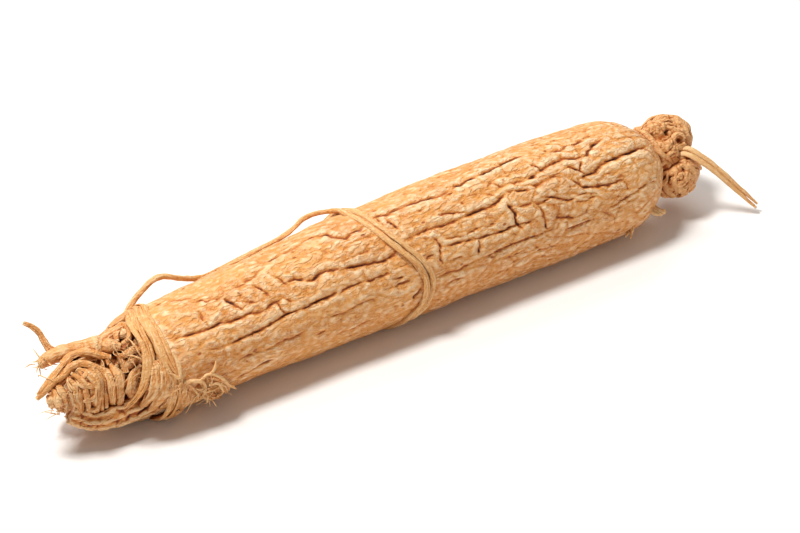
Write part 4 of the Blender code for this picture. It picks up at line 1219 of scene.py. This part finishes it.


# ridge is the painted highlight on raised points and the pale of the fibres; crease is painted shade in the
# creases and the colour of thin cracks and pits; deep is painted shade in the deepest creases; flesh and
# patch are the skin's own tones
skinTones = {
    "ridge": "#FFE1B6",
    "flesh": "#E8A153",
    "patch": "#D58838",
    "crease": "#AE5413",
    "deep": "#431804",
}


def driedRoot(name, tones, patchSize=11.0, streakSize=1.1, bumpDepth=0.19, pitted=0.9):
    # Ginseng dried whole: a starchy matt skin, with a painted highlight on its ridges and painted shade in
    # every crease
    material = bpy.data.materials.new(name)
    material.use_nodes = True
    tree = material.node_tree
    shader = tree.nodes["Principled BSDF"]
    place = addNode(tree, "ShaderNodeTexCoord").outputs["Object"]
    crease = addNode(tree, "ShaderNodeAttribute", {"attribute_name": "crease"}).outputs["Fac"]

    def noise(size, detail=3.0, stretch=None):
        where = place
        if stretch:
            where = addNode(tree, "ShaderNodeMapping", None, {"Vector": place, "Scale": stretch}).outputs[0]
        return addNode(tree, "ShaderNodeTexNoise", None,
                       {"Vector": where, "Scale": 1000 / size, "Detail": detail}).outputs[0]

    def ramp(value, low, high, first=0.0, last=1.0):
        links = {"Value": value, "From Min": low, "From Max": high, "To Min": first, "To Max": last}
        return addNode(tree, "ShaderNodeMapRange", {"interpolation_type": "SMOOTHSTEP"}, links).outputs[0]

    def blend(first, second, share):
        links = {0: share, 6: first, 7: second}
        return addNode(tree, "ShaderNodeMix", {"data_type": "RGBA"}, links).outputs[2]

    def maths(operation, first, second):
        return addNode(tree, "ShaderNodeMath", {"operation": operation}, {0: first, 1: second}).outputs[0]

    def bump(height, strength, depth, normal=None, invert=False):
        links = {"Height": height, "Strength": strength, "Distance": depth * mm}
        if normal:
            links["Normal"] = normal
        return addNode(tree, "ShaderNodeBump", {"invert": invert}, links).outputs[0]

    patches = ramp(noise(patchSize, 4.0, (0.6, 1, 1)), 0.38, 0.68)
    tone = blend(colour(tones["flesh"]), colour(tones["patch"]), maths("MULTIPLY", patches, 0.8))
    # painted highlight: points raised above the skin round them take the pale ridge tone
    tone = blend(tone, colour(tones["ridge"]), ramp(crease, 0.10, -0.90, 0.0, 0.8))

    # fibres of the skin, pale between thin dark lines
    streaks = noise(streakSize, 4.0, (0.5, 1, 1))
    folds = maths("ABSOLUTE", maths("SUBTRACT", streaks, 0.5), 0.0)
    thin = maths("MULTIPLY", ramp(folds, 0.030, 0.0), ramp(noise(5.0), 0.35, 0.65, 0.10, 0.70))
    tone = blend(tone, colour(tones["ridge"]), maths("MULTIPLY", ramp(folds, 0.05, 0.20), 0.34))
    tone = blend(tone, colour(tones["crease"]), thin)
    # painted shade: points below the skin round them, or with folds close in front, take the crease tone,
    # and the deepest take the deep tone
    tone = blend(tone, colour(tones["crease"]), ramp(crease, 0.12, 0.85, 0.0, 0.95))
    tone = blend(tone, colour(tones["deep"]), ramp(crease, 0.75, 1.9, 0.0, 0.97))

    # pin-sized pits
    stretched = addNode(tree, "ShaderNodeMapping", None, {"Vector": place, "Scale": (0.6, 1, 1)}).outputs[0]
    cells = addNode(tree, "ShaderNodeTexVoronoi", None, {"Vector": stretched, "Scale": 1000 / 1.9})
    pits = ramp(cells.outputs["Distance"], 0.20, 0.09)
    pits = maths("MULTIPLY", pits, ramp(noise(4.0, 2.0), 0.50, 0.62))
    tone = blend(tone, colour(tones["crease"]), maths("MULTIPLY", pits, pitted))

    tree.links.new(tone, shader.inputs["Base Color"])
    tree.links.new(ramp(streaks, 0.3, 0.7, 0.45, 0.70), shader.inputs["Roughness"])
    shader.inputs["IOR"].default_value = 1.45
    shader.inputs["Specular IOR Level"].default_value = 0.5

    normal = bump(ramp(folds, 0.0, 0.14), 0.9, bumpDepth)
    normal = bump(noise(0.42, 3.0, (0.7, 1, 1)), 0.9, 0.10, normal)
    normal = bump(pits, 0.8 * pitted, 0.16, normal, True)
    tree.links.new(normal, shader.inputs["Normal"])
    return material


def finishPiece(piece, material):
    piece.data.materials.clear()
    piece.data.materials.append(material)
    piece.data.shade_smooth()
    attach(piece, "root")


# ---- build

# each set's ridge tone is the painted highlight on raised points, and its crease and deep tones are painted
# shade
tailTones = {**skinTones, "ridge": "#F8D09A", "flesh": "#E2994D", "patch": "#CB7D32"}
crownTones = {**skinTones, "ridge": "#F3BE82", "flesh": "#DC924E", "patch": "#C07936"}
rootletTones = {**skinTones, "ridge": "#F8D199", "flesh": "#E9A356", "patch": "#D68D3B"}
bodyFinish = driedRoot("dried ginseng skin", skinTones)
tailFinish = driedRoot("dried ginseng legs", tailTones, 6.0, 0.7, 0.14, 0.3)
crownFinish = driedRoot("dried ginseng rhizome", crownTones, 5.0, 0.7, 0.14, 0.5)
rootletFinish = driedRoot("dried ginseng rootlet", rootletTones, 8.0, 0.5, 0.08, 0.0)

skin = makeSkin()
print("skin", len(skin.data.polygons))
crown = makeCrown()
print("crown", len(crown.data.polygons))
tail = makeTail()
print("tail legs", len(tail.data.polygons))
tree = strandTree()
folds = sweepStrands("tailFolds", foldStrands(), tailFinish, tree, sides=34, step=0.36,
                     wander=0.6, wanderSize=3.0, swell=0.65, crease=(0.13, 0.32),
                     ridgesAround=1.6, ridgeLength=7.0, ridgeDepth=0.38)
windings = sweepStrands("crownWindings", crownWindings(), crownFinish, tree, sides=14, wander=0.5,
                        swell=0.9, ridgesAround=0.8, ridgeLength=3.0, ridgeDepth=0.32)
longRootlet = sweepStrands("longRootlet", wrapStrands(), rootletFinish, tree, sides=18)
straps = sweepStrands("tailStraps", strapStrands(), rootletFinish, tree, sides=22,
                      ridgesAround=1.1, ridgeDepth=0.24)
crownStrap = sweepStrands("crownStrap", crownStrands() + stubStrands(), rootletFinish, tree, wander=0.2)
tangle = sweepStrands("tangle", tangleStrands(), rootletFinish, tree, sides=12, step=0.35,
                      wander=0.5, swell=0.7)
fibres = sweepStrands("looseFibres", frayStrands(), rootletFinish, tree, sides=5, step=0.4,
                      wander=0.3, ridgeDepth=0.0)
strandPieces = (folds, windings, longRootlet, straps, crownStrap, tangle, fibres)
print("strands", [(piece.name, len(piece.data.polygons)) for piece in strandPieces])

# painted shade in the gaps between the tail's folds and round the crown's windings
markGapShade((tail, folds, straps))
markGapShade((crown, windings), 1.6, 1.1)
print("gaps")

finishPiece(skin, bodyFinish)
for piece in (crown, windings):
    finishPiece(piece, crownFinish)
for piece in (tail, folds):
    finishPiece(piece, tailFinish)
for piece in (longRootlet, straps, crownStrap, tangle, fibres):
    finishPiece(piece, rootletFinish)
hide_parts("root")


# ---- floor, light and camera

studio = {
    "floor": "#F1EEEA",
    "floorHalf": 3000,
    "floorDrop": 0.3,
    # lamps as (place in metres, size in metres, power)
    "key": ((-0.24, 0.10, 0.70), 0.18, 5.6),
    "fill": ((0.55, -0.70, 0.35), 0.60, 0.7),
    "back": ((0.25, 0.50, 0.60), 0.35, 2.4),
    "fillTone": "#FFD9AE",
    "skyStrength": 0.28,
    "azimuth": -36.0,
    "elevation": 33.0,
    "distance": 0.85,
    "lens": 200.0,
    "target": (0.001, -0.001, 0.0105),
}


def makeStudio():
    half, low = studio["floorHalf"], -studio["floorDrop"]
    corners = [(-half, -half, low), (half, -half, low), (half, half, low), (-half, half, low)]
    floor = meshObject("floor", corners, [(0, 1, 2, 3)])
    # Paper: a plain white sheet with no sheen
    paper = bpy.data.materials.new("matt white paper")
    paper.use_nodes = True
    sheet = paper.node_tree.nodes["Principled BSDF"].inputs
    sheet["Base Color"].default_value = colour(studio["floor"])
    sheet["Roughness"].default_value = 0.9
    floor.data.materials.append(paper)
    target = np.array(studio["target"])
    for name in ("key", "fill", "back"):
        place, size, power = studio[name]
        lamp = bpy.data.lights.new(name, "AREA")
        lamp.size = size
        lamp.energy = power
        lamp.color = colour(studio["fillTone"] if name == "fill" else "#FFFFFF")[:3]
        made = bpy.data.objects.new(name, lamp)
        made.location = place
        made.rotation_euler = lookAt(np.array(place), target)
        bpy.context.scene.collection.objects.link(made)
    world = bpy.data.worlds.new("soft daylight")
    world.use_nodes = True
    world.node_tree.nodes["Background"].inputs["Color"].default_value = (1.0, 1.0, 1.0, 1.0)
    world.node_tree.nodes["Background"].inputs["Strength"].default_value = studio["skyStrength"]
    bpy.context.scene.world = world
    turn, rise = math.radians(studio["azimuth"]), math.radians(studio["elevation"])
    way = np.array([math.sin(turn) * math.cos(rise), -math.cos(turn) * math.cos(rise), math.sin(rise)])
    lens = bpy.data.cameras.new("camera")
    lens.lens = studio["lens"]
    lens.clip_start = 0.01
    camera = bpy.data.objects.new("camera", lens)
    camera.location = target + way * studio["distance"]
    camera.rotation_euler = lookAt(np.array(camera.location), target)
    bpy.context.scene.collection.objects.link(camera)
    bpy.context.scene.camera = camera
    bpy.context.scene.view_settings.view_transform = "Standard"


def lookAt(place, target):
    return Vector(target - place).to_track_quat("-Z", "Y").to_euler()


makeStudio()
